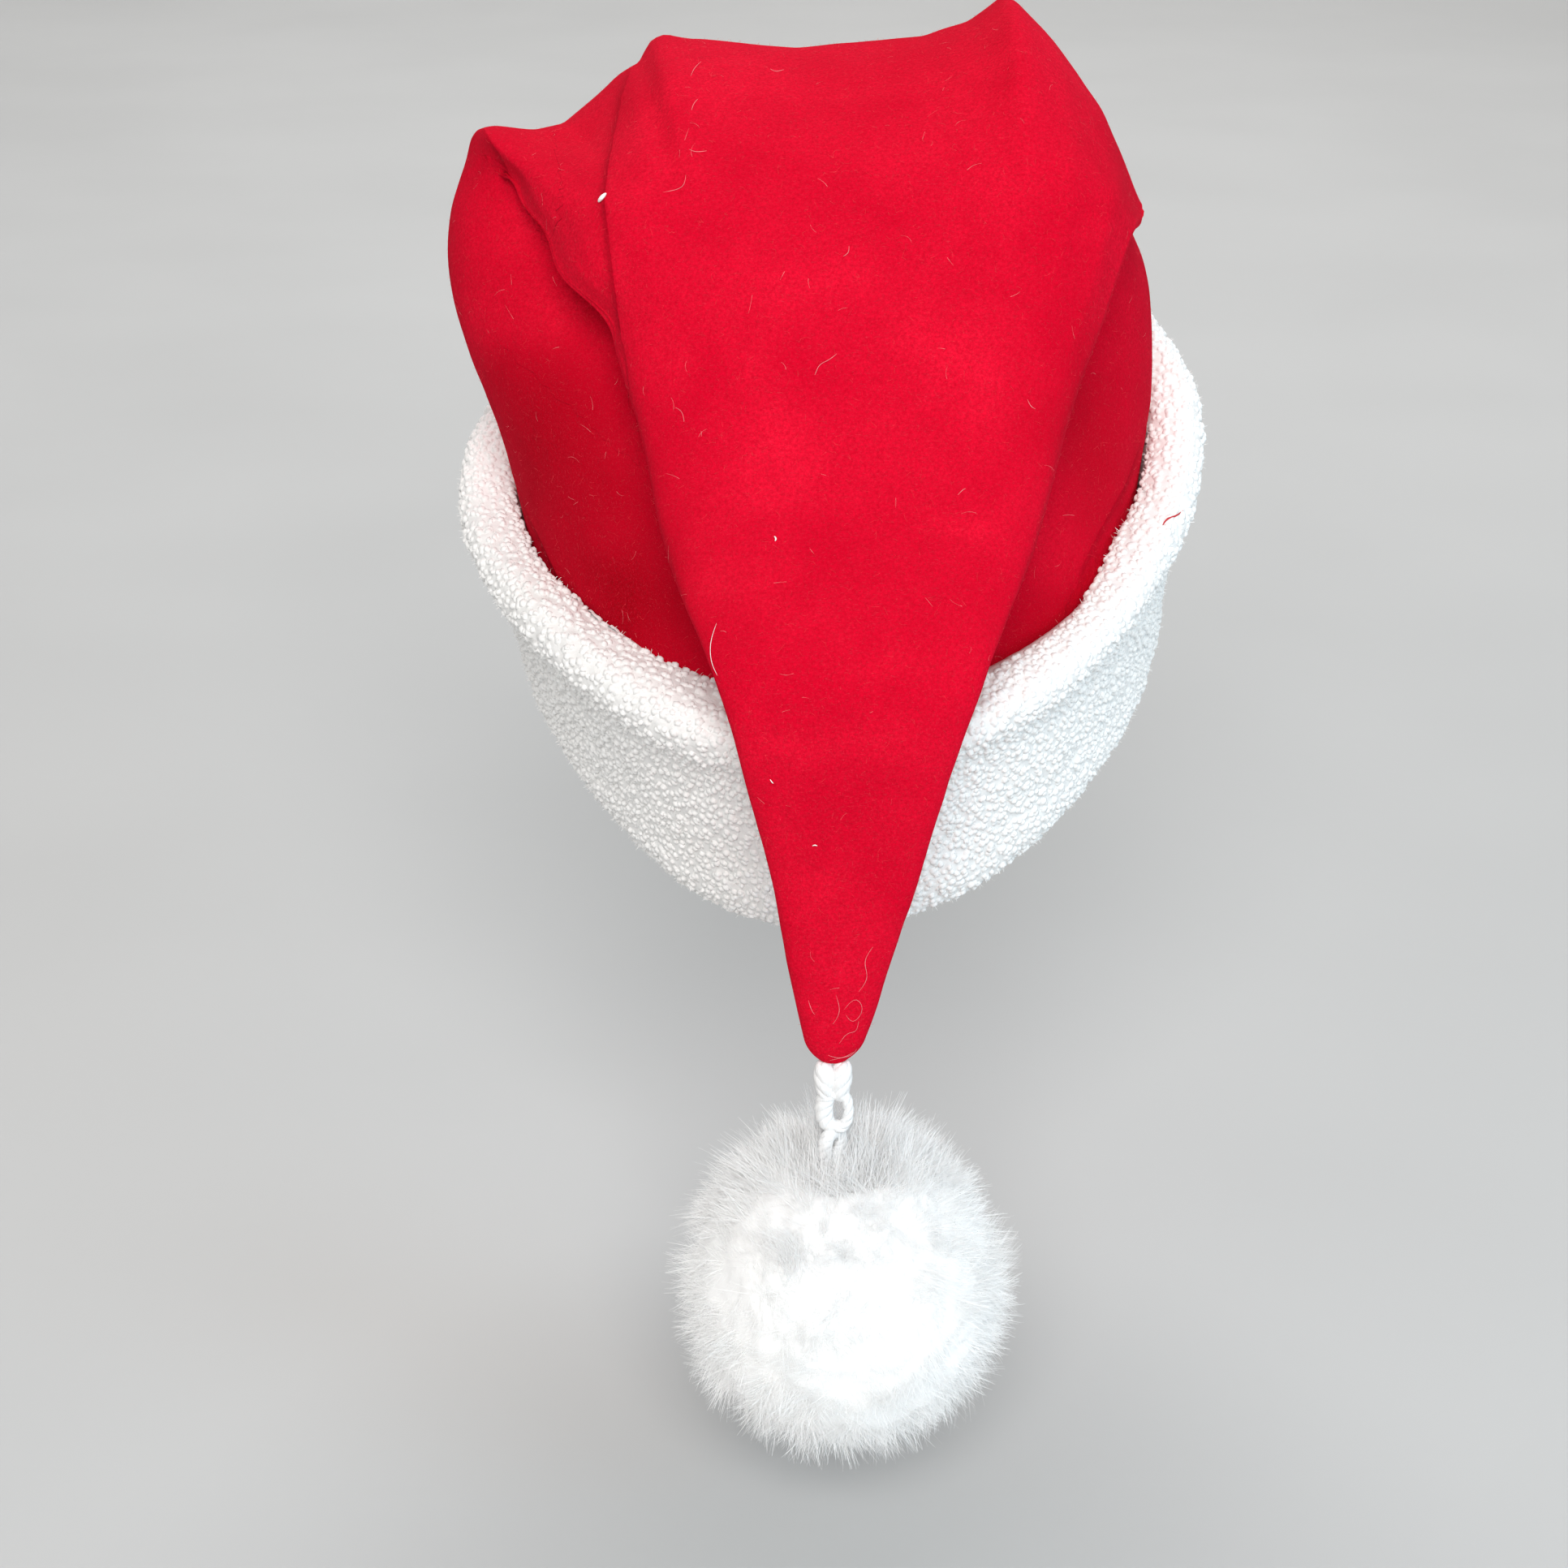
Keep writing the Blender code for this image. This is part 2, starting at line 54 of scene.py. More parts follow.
CROWN_COLUMNS = (
    "back_y", "back_z", "front_y", "front_z",
    "left_x", "left_y", "left_z", "right_x", "right_y", "right_z",
    "squareness", "ridge", "flap",
)
CROWN_SECTIONS = {
    "cuff_top": (1.01, -0.06, -1.00, -0.06, -0.995, 0.01, -0.05, 1.005, 0.01, -0.07, 2.0, 0.0, 0.0),
    "above_cuff": (1.05, 0.13, -0.76, 0.13, -1.055, 0.15, 0.18, 1.06, 0.15, 0.09, 2.0, 0.0, 0.0),
    "belly": (0.99, 0.42, -0.51, 0.35, -1.14, 0.24, 0.46, 1.05, 0.22, 0.32, 2.0, 0.1, 0.0),
    "shoulder": (0.78, 0.70, -0.27, 0.54, -1.09, 0.27, 0.66, 1.00, 0.18, 0.49, 2.0, 0.5, 0.0),
    "turn": (0.53, 0.88, -0.12, 0.66, -1.00, 0.27, 0.74, 1.02, 0.12, 0.57, 2.0, 0.9, 0.0),
    "crest": (0.29, 0.93, -0.07, 0.70, -0.955, 0.22, 0.765, 1.03, 0.09, 0.59, 2.0, 1.0, 0.0),
    "over": (0.04, 0.93, -0.11, 0.69, -0.90, 0.09, 0.76, 1.02, 0.02, 0.60, 2.2, 0.7, 0.3),
    "flap_top": (-0.24, 0.86, -0.21, 0.65, -0.785, -0.20, 0.73, 0.975, -0.16, 0.67, 2.5, 0.1, 0.9),
    "flap": (-0.42, 0.75, -0.35, 0.56, -0.645, -0.37, 0.665, 0.89, -0.35, 0.595, 2.8, 0.0, 0.7),
    "flap_foot": (-0.57, 0.64, -0.49, 0.47, -0.535, -0.53, 0.565, 0.80, -0.52, 0.51, 3.0, 0.0, 0.3),
    "before_cuff": (-0.885, 0.40, -0.81, 0.24, -0.45, -0.85, 0.345, 0.64, -0.85, 0.295, 3.0, 0.0, 0.0),
}
TAIL_COLUMNS = ("z", "off", "thick", "left_x", "right_x", "squareness")
TAIL_SECTIONS = {
    "over_rim": (0.40, -0.30, 1.20, -1.05, 0.90, 3.0),
    "hanging": (0.00, 0.15, 0.95, -0.79, 0.62, 3.0),
    "below_cuff": (-0.42, 0.15, 0.82, -0.59, 0.38, 2.8),
    "narrow": (-0.78, 0.15, 0.72, -0.445, 0.165, 2.6),
    "tip": (-1.00, 0.20, 0.60, -0.35, 0.01, 2.4),
}
RIDGE_OUTLINE = (
    (-1.0, 0.0), (-0.985, 0.26), (-0.93, 0.29), (-0.80, 0.24), (-0.70, 0.28), (-0.54, 0.71), (-0.475, 0.80),
    (-0.445, 0.97), (-0.40, 1.03), (-0.33, 0.985), (0.0, 0.96), (0.16, 1.035), (0.39, 1.12), (0.53, 1.275),
    (0.585, 1.39), (0.63, 1.49), (0.67, 1.47), (0.76, 1.23), (0.85, 0.91), (0.90, 0.73), (0.95, 0.38),
    (1.0, 0.0),
)
FLAP_OUTLINE = (
    (-1.0, 0.0), (-0.97, 0.35), (-0.90, 0.60), (-0.72, 0.97), (-0.55, 1.03), (0.0, 1.0), (0.5, 1.05),
    (0.80, 0.95), (0.94, 0.60), (1.0, 0.0),
)
CUFF_SECTION = (
    (0.05, 0.0), (0.0, 0.30), (0.015, 0.58), (0.08, 0.76), (0.30, 0.78), (0.50, 0.78), (0.68, 0.82),
    (0.80, 0.92), (0.925, 1.04), (0.985, 0.88), (1.0, 0.60), (0.965, 0.28), (0.90, 0.0), (0.48, 0.0),
)
CUFF_SWAY = (
    (0, -0.02, 0.17, -0.09, 0.03),
    (45, 0.20, 0.11, 0.07, -0.01),
    (90, 0.0, 0.0, 0.0, 0.0),
    (135, -0.08, -0.06, 0.02, -0.06),
    (180, -0.02, -0.04, 0.04, 0.19),
    (225, -0.19, 0.19, -0.29, -0.37),
    (270, 0.28, -0.22, 0.46, -0.13),
    (315, -0.14, -0.12, -0.12, 0.29),
)

# How fine the dressed surfaces are

CROWN_ROWS, CROWN_AROUND, HEM_ROWS, TIP_ROWS = 190, 320, 14, 12
CUFF_ROWS, CUFF_AROUND = 100, 560
TIP_ROUND = 0.0055
CUFF_NUB_PITCH, CUFF_NUB_SIDES, CUFF_CURLS = 0.0024, 5, 9000
FUR_STRANDS, FUR_LOCKS = 36000, 620
FELT_FUZZ, FELT_LINT = 9000, 300

# Sizes of the pile, in metres: the least and the greatest of each
NUB_WIDTH, NUB_HEIGHT, NUB_FOOT = (0.00105, 0.00165), (0.0004, 0.0011), 0.00035
CURL_LENGTH, CURL_WIDTH = (0.0007, 0.0018), (0.00010, 0.00022)
FUR_WIDTH, FUR_CLEAR_OF_TIE = (0.00012, 0.00026), 0.0058
SLOPE_LEAN, FELT_DENT, FELT_RIPPLE = 0.0065, 0.0005, 0.00016

# The view, in metres and degrees: where the camera stands and how far it looks down
CAMERA_AT, CAMERA_DOWN = (-0.0195, -0.8443, 0.3360), 24.0
FRAME_PIXELS, FOCAL_PIXELS = 1932, 3605
FLOOR_Z = -0.200

# Lighter rubbed patches of the felt as the view shows them: middle across and down, half width, half
# height, all in pixels of the view, and strength
FELT_PATCHES = (
    (890, 90, 80, 45, 0.9), (800, 190, 60, 60, 0.6), (1090, 200, 90, 50, 0.45), (1240, 230, 60, 70, 0.5),
    (1290, 70, 70, 60, 0.45), (1000, 345, 90, 50, 0.8), (1140, 430, 60, 80, 0.9), (1205, 500, 50, 40, 0.9),
    (950, 550, 50, 70, 0.9), (690, 400, 50, 40, 1.0), (640, 290, 40, 40, 0.8), (760, 330, 30, 60, 0.5),
    (740, 560, 40, 40, 0.5), (1205, 650, 60, 22, 0.9), (1320, 610, 50, 70, 0.45), (910, 725, 50, 30, 0.9),
    (1010, 770, 40, 26, 0.8), (1085, 812, 60, 24, 0.8), (1040, 918, 100, 24, 1.0), (1010, 1090, 40, 50, 0.4),
    (1060, 1180, 30, 40, 0.5),
)
# Folds of the felt as lines of points in pixels of the view, each with how far the felt on its left lies
# back and over what distance that fades, in metres
FELT_FOLDS = (
    (
        ((786, 56), (764, 119), (749, 201), (744, 244), (748, 280), (755, 341), (760, 387), (766, 424)),
        0.0012, 0.013,
    ),
    (((597, 163), (606, 178), (616, 194), (626, 214), (637, 236)), 0.0012, 0.012),
    (((630, 575), (645, 627), (672, 681), (689, 715), (721, 743), (743, 764), (758, 790)), 0.0013, 0.010),
    (((1324, 726), (1334, 698), (1354, 659), (1389, 594), (1412, 530)), 0.0008, 0.010),
)
# Small moves of the felt, in pixels of the view and metres: middle across and down, reach, and how far
# it moves to the right, back and up
FELT_MOVES = (
    (716, 388, 60, 0.0050, 0.0, 0.0), (654, 285, 52, 0.0066, 0.0, 0.0), (616, 222, 26, 0.0032, 0.0, 0.0),
    (606, 170, 32, -0.0026, 0.0, 0.0008), (792, 108, 32, 0.0, -0.0034, 0.0006),
    (784, 180, 32, 0.0, -0.0034, 0.0), (780, 250, 34, 0.0, -0.0018, 0.0),
    (822, 60, 20, -0.0016, 0.0, -0.0010),
)
# Painted shade on the panels under the fold, which lie in its shade: middle, half width and half height in
# pixels of the view, and strength
FELT_PAINTED_SHADE = (
    (690, 560, 95, 120, 0.74), (770, 740, 95, 95, 1.0), (650, 480, 60, 70, 0.30),
    (1350, 560, 70, 150, 0.62), (1275, 790, 50, 70, 0.62),
)


# Noise, curves and meshes from arrays

def hashed(cells, seed):
    """A number from 0 to 1 for every row of whole numbers in cells, the same on each run.

    The three are multiplied by large primes, joined bit by bit, and mixed by shifts and two more factors.
    """
    x, y, z = (cells[..., k].astype(np.uint64) for k in range(3))
    mixed = x * np.uint64(73856093) ^ y * np.uint64(19349663) ^ z * np.uint64(83492791)
    mixed = (mixed + np.uint64(seed) * np.uint64(2654435761)) & np.uint64(0xFFFFFFFF)
    for shift, factor in ((16, 0x45D9F3B), (15, 0x119DE1F3), (16, 1)):
        mixed = ((mixed ^ (mixed >> np.uint64(shift))) * np.uint64(factor)) & np.uint64(0xFFFFFFFF)
    return mixed.astype(float) / 0xFFFFFFFF


def smooth_noise(points, size, seed):
    """Noise from -1 to 1 that changes over size metres: hashed corners of cubes blended by 3t^2 - 2t^3."""
    at = np.asarray(points) / size + 1000.0
    cell = np.floor(at).astype(np.int64)
    part = at - cell
    part = part * part * (3 - 2 * part)
    total = 0.0
    for corner in np.ndindex(2, 2, 2):
        step = np.array(corner)
        weight = np.where(step, part, 1 - part).prod(axis=-1)
        total = total + weight * hashed(cell + step, seed)
    return total * 2 - 1


def nub_height(points, size, seed):
    """Height from 0 to 1 of round nubs about size metres apart: 1 - (distance to the nearest middle)^2."""
    at = np.asarray(points) / size + 1000.0
    cell = np.floor(at).astype(np.int64)
    nearest = np.full(at.shape[:-1], 9.0)
    for offset in np.ndindex(3, 3, 3):
        there = cell + np.array(offset) - 1
        middle = there + 0.15 + 0.7 * np.stack([hashed(there, seed + k) for k in range(3)], axis=-1)
        nearest = np.minimum(nearest, ((at - middle) ** 2).sum(axis=-1))
    return np.clip(1 - nearest / 0.72, 0.0, 1.0)


def natural_spline(knots, values, at):
    """A curve through the values at the knots with no bend at its ends, read at the places in at."""
    steps = np.diff(knots)
    count = len(knots)
    system = np.eye(count)
    right = np.zeros((count, values.shape[1]))
    for row in range(1, count - 1):
        system[row, row - 1 : row + 2] = steps[row - 1], 2 * (steps[row - 1] + steps[row]), steps[row]
        rise = (values[row + 1] - values[row]) / steps[row]
        right[row] = 6 * (rise - (values[row] - values[row - 1]) / steps[row - 1])
    bends = np.linalg.solve(system, right)
    span = np.clip(np.searchsorted(knots, at, side="right") - 1, 0, count - 2)
    width = steps[span][:, None]
    after = (at - knots[span])[:, None]
    before = width - after
    cubic = (bends[span] * before**3 + bends[span + 1] * after**3) / (6 * width)
    first = (values[span] / width - bends[span] * width / 6) * before
    second = (values[span + 1] / width - bends[span + 1] * width / 6) * after
    return cubic + first + second


def unit(vectors):
    """Each vector divided by its length."""
    return vectors / np.maximum(np.linalg.norm(vectors, axis=-1, keepdims=True), 1e-12)


def grid_faces(rows, around, closed_rows=False, flip=False):
    """Four corners of every square of a grid of rows that each close on themselves."""
    row = np.arange(rows if closed_rows else rows - 1)[:, None]
    k = np.arange(around)[None, :]
    after, above = (k + 1) % around, (row + 1) % rows
    corners = [row * around + k, row * around + after, above * around + after, above * around + k]
    faces = np.stack(corners, axis=-1).reshape(-1, 4)
    return faces[:, ::-1] if flip else faces


def add_mesh(name, points, faces, material, attributes=None):
    """A mesh object from an array of points and an array of faces that all have as many corners."""
    points = np.asarray(points, float).reshape(-1, 3)
    faces = np.asarray(faces, np.int32)
    corners = faces.shape[1]
    mesh = bpy.data.meshes.new(name)
    mesh.vertices.add(len(points))
    mesh.vertices.foreach_set("co", points.ravel())
    mesh.loops.add(faces.size)
    mesh.loops.foreach_set("vertex_index", faces.ravel())
    mesh.polygons.add(len(faces))
    mesh.polygons.foreach_set("loop_start", np.arange(len(faces), dtype=np.int32) * corners)
    mesh.polygons.foreach_set("use_smooth", np.full(len(faces), True))
    for key, values in (attributes or {}).items():
        layer = mesh.attributes.new(key, "FLOAT", "POINT")
        layer.data.foreach_set("value", np.asarray(values, float).ravel())
    mesh.update(calc_edges=True)
    mesh.materials.append(material)
    added = bpy.data.objects.new(name, mesh)
    bpy.context.scene.collection.objects.link(added)
    return added


def grid_normals(grid):
    """Unit normals of a grid of closed rows: the cross product of its two directions."""
    along = np.gradient(grid, axis=0)
    around = np.roll(grid, -1, axis=1) - np.roll(grid, 1, axis=1)
    return unit(np.cross(around, along))


def seen(points):
    """Where the points lie in the view, in its pixels across and down."""
    down = math.radians(CAMERA_DOWN)
    x, y, z = np.moveaxis(np.asarray(points) - CAMERA_AT, -1, 0)
    depth = y * math.cos(down) - z * math.sin(down)
    rise = y * math.sin(down) + z * math.cos(down)
    half = FRAME_PIXELS / 2
    return half + FOCAL_PIXELS * x / depth, half - FOCAL_PIXELS * rise / depth


def line_distance(px, py, line):
    """Distance in pixels from each place to the nearest piece of a line of points, below 0 on its left."""
    nearest = np.full(np.shape(px), 1e9)
    side = np.ones(np.shape(px))
    for (ax, ay), (bx, by) in zip(line[:-1], line[1:]):
        length = (bx - ax) ** 2 + (by - ay) ** 2
        share = np.clip(((px - ax) * (bx - ax) + (py - ay) * (by - ay)) / length, 0, 1)
        distance = np.hypot(px - ax - share * (bx - ax), py - ay - share * (by - ay))
        turn = np.sign((by - ay) * (px - ax) - (bx - ax) * (py - ay))
        side = np.where(distance < nearest, turn, side)
        nearest = np.minimum(nearest, distance)
    return nearest * side


def ribbons(roots, heads, bends, side, width, segments, taper=0.25):
    """Points and triangles of flat tapering hairs, one for each row of the arrays.

    A hair runs from root to head with a quadratic bend: p(t) = root + t (head - root) + t (1 - t) 4 bend / 2,
    and is width wide at its root, taper times that at its head, along the vector side.
    """
    count = len(roots)
    t = np.linspace(0, 1, segments + 1)[None, :, None]
    line = roots[:, None] + t * (heads - roots)[:, None] + 2 * t * (1 - t) * bends[:, None]
    half = side[:, None] * (np.asarray(width).reshape(-1, 1, 1) / 2) * (1 - (1 - taper) * t)
    points = np.stack([line - half, line + half], axis=2).reshape(-1, 3)
    base = (np.arange(count) * (segments + 1) * 2)[:, None]
    step = (np.arange(segments) * 2)[None, :]
    low = (base + step).reshape(-1, 1)
    faces = low + np.array([[0, 1, 3, 2]])
    along = np.broadcast_to(t, (count, segments + 1, 1)).repeat(2, axis=2).reshape(-1)
    return points, faces, along


def tube(line, radius, sides):
    """Points and faces of an open tube along a line of points; radius may change along it."""
    line = np.asarray(line, float)
    count = len(line)
    radius = np.broadcast_to(radius, (count,))
    ahead = unit(np.gradient(line, axis=0))
    across = np.empty_like(line)
    start = np.cross(ahead[0], (0.3, 1.0, 0.2))
    across[0] = start / np.linalg.norm(start)
    for k in range(1, count):
        across[k] = across[k - 1] - ahead[k] * (across[k - 1] @ ahead[k])
        across[k] /= np.linalg.norm(across[k])
    third = np.cross(ahead, across)
    angle = np.linspace(0, 2 * math.pi, sides, endpoint=False)
    ring = np.cos(angle)[None, :, None] * across[:, None] + np.sin(angle)[None, :, None] * third[:, None]
    points = line[:, None] + ring * radius[:, None, None]
    return points.reshape(-1, 3), grid_faces(count, sides)


def joined(parts):
    """One array of points and one of faces from several pairs of them."""
    offsets = np.cumsum([0] + [len(points) for points, _ in parts[:-1]])
    points = np.concatenate([points for points, _ in parts])
    faces = np.concatenate([faces + offset for (_, faces), offset in zip(parts, offsets)])
    return points, faces


# The surfaces of the solids at any fineness

def head_to_part(points):
    """Turns points of the head's own frame, where the cuff is level, into the part's frame."""
    x, y, z = np.moveaxis(np.asarray(points, float), -1, 0)
    rolled_x = x * math.cos(SEAT_ROLL) - z * math.sin(SEAT_ROLL)
    rolled_z = x * math.sin(SEAT_ROLL) + z * math.cos(SEAT_ROLL)
    cosine, sine = math.cos(SEAT_TILT), math.sin(SEAT_TILT)
    return np.stack([rolled_x, y * cosine - rolled_z * sine, y * sine + rolled_z * cosine], axis=-1)


def cuff_sway(bearings):
    """The four stray distances of the cuff at each bearing, in metres, on a smooth closed curve."""
    table = np.array(CUFF_SWAY, float)
    thrice = np.concatenate([table - (360, 0, 0, 0, 0), table, table + (360, 0, 0, 0, 0)])
    return natural_spline(thrice[:, 0], thrice[:, 1:], np.degrees(bearings) % 360) * CUFF_THICKNESS


def cuff_face(height, off, sway):
    """Height up the cuff and distance off the felt of points of its section, strayed by their bearing."""
    roll_out, roll_up, foot_out, foot_up = np.moveaxis(sway, -1, 0)
    share = np.clip(height, 0.0, 1.0)
    loose = np.clip(off / 0.6, 0.0, 1.0)
    up = height * CUFF_HEIGHT + loose * (share * roll_up + (1 - share) * foot_up)
    return up, off * CUFF_THICKNESS + loose * (share * roll_out + (1 - share) * foot_out)


def cuff_front():
    """The y and z of the outermost point of the cuff's roll below the tail."""
    sway = cuff_sway(np.array([1.5 * math.pi]))
    felt = CROWN_SECTIONS["cuff_top"][2] * HEAD_LENGTH / 2 - SEAT_GAP - CUFF_NUB
    heights, offs = np.array(CUFF_SECTION).T
    up, out = cuff_face(heights, offs, sway)
    round_it = head_to_part(np.stack([np.zeros_like(up), felt - out, up], axis=-1))
    return round_it[np.argmin(round_it[:, 1])][1:]


def guide_rows():
    """The four guide lines of the crown and the tail, row by row, and each row's outline weights."""
    half_width, half_length = HEAD_WIDTH / 2, HEAD_LENGTH / 2
    guides, weights = [], []
    for row in CROWN_SECTIONS.values():
        cell = dict(zip(CROWN_COLUMNS, row))
        middle = (cell["left_x"] + cell["right_x"]) / 2
        shares = np.array([
            (middle, cell["back_y"], cell["back_z"]),
            (middle, cell["front_y"], cell["front_z"]),
            (cell["left_x"], cell["left_y"], cell["left_z"]),
            (cell["right_x"], cell["right_y"], cell["right_z"]),
        ])
        guides.append(head_to_part(shares * (half_width, half_length, CROWN_RISE) + (0, 0, CUFF_HEIGHT)))
        weights.append((cell["squareness"], cell["ridge"], cell["flap"]))
    rim_y, rim_z = cuff_front()
    for row in TAIL_SECTIONS.values():
        cell = dict(zip(TAIL_COLUMNS, row))
        inner = rim_y - TAIL_CLEARANCE - cell["off"] * TAIL_THICKNESS
        outer = inner - cell["thick"] * TAIL_THICKNESS
        left, right = cell["left_x"] * TAIL_WIDTH / 2, cell["right_x"] * TAIL_WIDTH / 2
        height = rim_z + cell["z"] * TAIL_DROP
        centre = (inner + outer) / 2
        middle = (left + right) / 2
        places = ((middle, outer), (middle, inner), (left, centre), (right, centre))
        guides.append(np.array([(x, y, height) for x, y in places]))
        weights.append((cell["squareness"], 0.0, 0.0))
    return np.array(guides), np.array(weights)


def outline(points, at):
    """Height at the places in at of the line through an outline's points, its corners rounded a little."""
    table = np.array(points)
    steps = np.linspace(-0.014, 0.014, 5)
    return np.mean([np.interp(np.clip(at + step, -1, 1), table[:, 0], table[:, 1]) for step in steps], axis=0)


def felt_rows(around):
    """The felt's outer face from the hem to the rounded tip, as rows of points.

    Each row is a chord from left to right with an arch over it and one back under it. An arch rises by
    |sin a|^(2 / squareness) at the place -sign(cos a) |cos a|^(2 / squareness), or by its outline.
    """
    guides, weights = guide_rows()
    steps = np.linalg.norm(np.diff(guides, axis=0), axis=2).mean(axis=1)
    knots = np.concatenate([[0.0], np.cumsum(steps)])
    columns = np.concatenate([guides.reshape(len(guides), -1), weights], axis=1)
    tip = knots[-1]
    body = np.linspace(0, tip - TIP_ROUND, CROWN_ROWS, endpoint=False)
    at = np.concatenate([body, np.linspace(tip - TIP_ROUND, tip, TIP_ROWS)])
    read = natural_spline(knots, columns, at)
    back, front, left, right = (read[:, None, k : k + 3] for k in (0, 3, 6, 9))
    squareness, ridge, flap = (read[:, k, None] for k in (12, 13, 14))
    centre = (left + right) / 2
    angle = np.linspace(0.0, math.pi, around // 2 + 1)[None, :]
    place = -np.sign(np.cos(angle)) * np.abs(np.cos(angle)) ** (2 / squareness)
    height = np.abs(np.sin(angle)) ** (2 / squareness)
    raised = (1 - ridge - flap) * height + ridge * outline(RIDGE_OUTLINE, place)
    raised = raised + flap * outline(FLAP_OUTLINE, place)
    raised[:, [0, -1]] = 0.0
    chord = centre + place[..., None] * (right - left) / 2
    over = chord + raised[..., None] * (back - centre)
    home = chord + height[..., None] * (front - centre)
    rows = np.concatenate([over[:, :-1], home[:, :0:-1]], axis=1)
    turn = np.linspace(0.0, 2 * math.pi, around, endpoint=False)
    hem = [-np.cos(turn) * HEM_WIDTH / 2, np.sin(turn) * HEM_LENGTH / 2, np.full(around, HEM_LIFT)]
    hem = head_to_part(np.stack(hem, axis=-1))
    up = np.linspace(0, 1, HEM_ROWS, endpoint=False)[:, None, None]
    below = hem + (rows[0] - hem) * up
    ends = np.linspace(0, FELT, 6)[1:]
    lowered = rows[-1] - ends[:, None, None] * np.array([0.0, 0.0, 1.0])
    rows = np.concatenate([below, rows, lowered])
    middle = rows.mean(axis=1, keepdims=True)
    rise = (middle[..., 2:] - middle[-1, 0, 2]) / (TIP_ROUND + FELT)
    shrink = np.sqrt(np.clip(1 - (1 - np.clip(rise, 0.0, 1.0)) ** 2, 0.0004, 1.0))
    near_tip = np.arange(len(rows))[:, None, None] > len(rows) // 2
    return middle + (rows - middle) * np.where(near_tip, shrink, 1.0)


def felt_inside(outside):
    """The felt's inner face: every point moved in by the felt's thickness, less where the tube is flat."""
    around = outside.shape[1]
    left, right = outside[:, :1], outside[:, around // 2 : around // 2 + 1]
    half_chord = np.maximum(np.linalg.norm(right - left, axis=2, keepdims=True) / 2, 1e-6)
    along = (right - left) / (2 * half_chord)
    place = ((outside - (left + right) / 2) * along).sum(axis=2, keepdims=True) / half_chord
    place = np.clip(place, -1.0, 1.0)
    edge = place**8
    normal = -grid_normals(outside)
    normal -= edge * (normal * along).sum(axis=2, keepdims=True) * along
    opposite = outside[:, -np.arange(around) % around]
    gap = np.linalg.norm(outside - opposite, axis=2, keepdims=True)
    depth = np.minimum(FELT, 0.36 * gap)
    sink = np.minimum(FELT, 0.3 * half_chord)
    return outside - normal * depth - np.sign(place) * edge * sink * along


def tie_top():
    """The middle of the tie's top, below the tail's lowest point."""
    low = TAIL_SECTIONS["tip"]
    rim_y, rim_z = cuff_front()
    inner = rim_y - TAIL_CLEARANCE - low[1] * TAIL_THICKNESS
    x = (low[3] + low[4]) * TAIL_WIDTH / 4
    y = inner - low[2] * TAIL_THICKNESS / 2
    return np.array([x, y, rim_z + low[0] * TAIL_DROP - FELT - SEAT_GAP + KNOT_RISE])


def tie_length():
    """The knot and the stitches, each of which bites a little into the one above."""
    return KNOT_HEIGHT + STITCH_COUNT * (STITCH_LENGTH - STITCH_BITE)


def pompom_centre():
    """The middle of the fur ball, which hangs straight below the tie's top but for a small sway."""
    x, y, z = tie_top()
    return np.array([x + POMPOM_SWAY, y, z - tie_length() - SEAT_GAP + POMPOM_DIMPLE - POMPOM_CORE / 2])


# Materials

def mottle_group():
    """Soft blotches: the noise at Place, read from Low to High, times Strength, mixes Blotch into Colour."""
    made = bpy.data.node_groups.get("soft_mottle")
    if made:
        return made
    group = bpy.data.node_groups.new("soft_mottle", "ShaderNodeTree")
    sockets = (
        ("Place", "NodeSocketVector"), ("Colour", "NodeSocketColor"), ("Blotch", "NodeSocketColor"),
        ("Scale", "NodeSocketFloat"), ("Low", "NodeSocketFloat"), ("High", "NodeSocketFloat"),
        ("Strength", "NodeSocketFloat"),
    )
    for name, kind in sockets:
        group.interface.new_socket(name=name, in_out="INPUT", socket_type=kind)
    group.interface.new_socket(name="Colour", in_out="OUTPUT", socket_type="NodeSocketColor")
    given = group.nodes.new("NodeGroupInput").outputs
    noise, spread, mix = (group.nodes.new(f"ShaderNode{kind}") for kind in ("TexNoise", "MapRange", "Mix"))
    noise.inputs["Detail"].default_value = 2
    noise.inputs["Roughness"].default_value = 0.6
    mix.data_type = "RGBA"
    result = group.nodes.new("NodeGroupOutput").inputs["Colour"]
    for source, target in (
        (given["Place"], noise.inputs["Vector"]), (given["Scale"], noise.inputs["Scale"]),
        (noise.outputs["Fac"], spread.inputs["Value"]), (given["Low"], spread.inputs["From Min"]),
        (given["High"], spread.inputs["From Max"]), (given["Strength"], spread.inputs["To Max"]),
        (spread.outputs["Result"], mix.inputs[0]), (given["Colour"], mix.inputs[6]),
        (given["Blotch"], mix.inputs[7]), (mix.outputs[2], result),
    ):
        group.links.new(source, target)
    return group


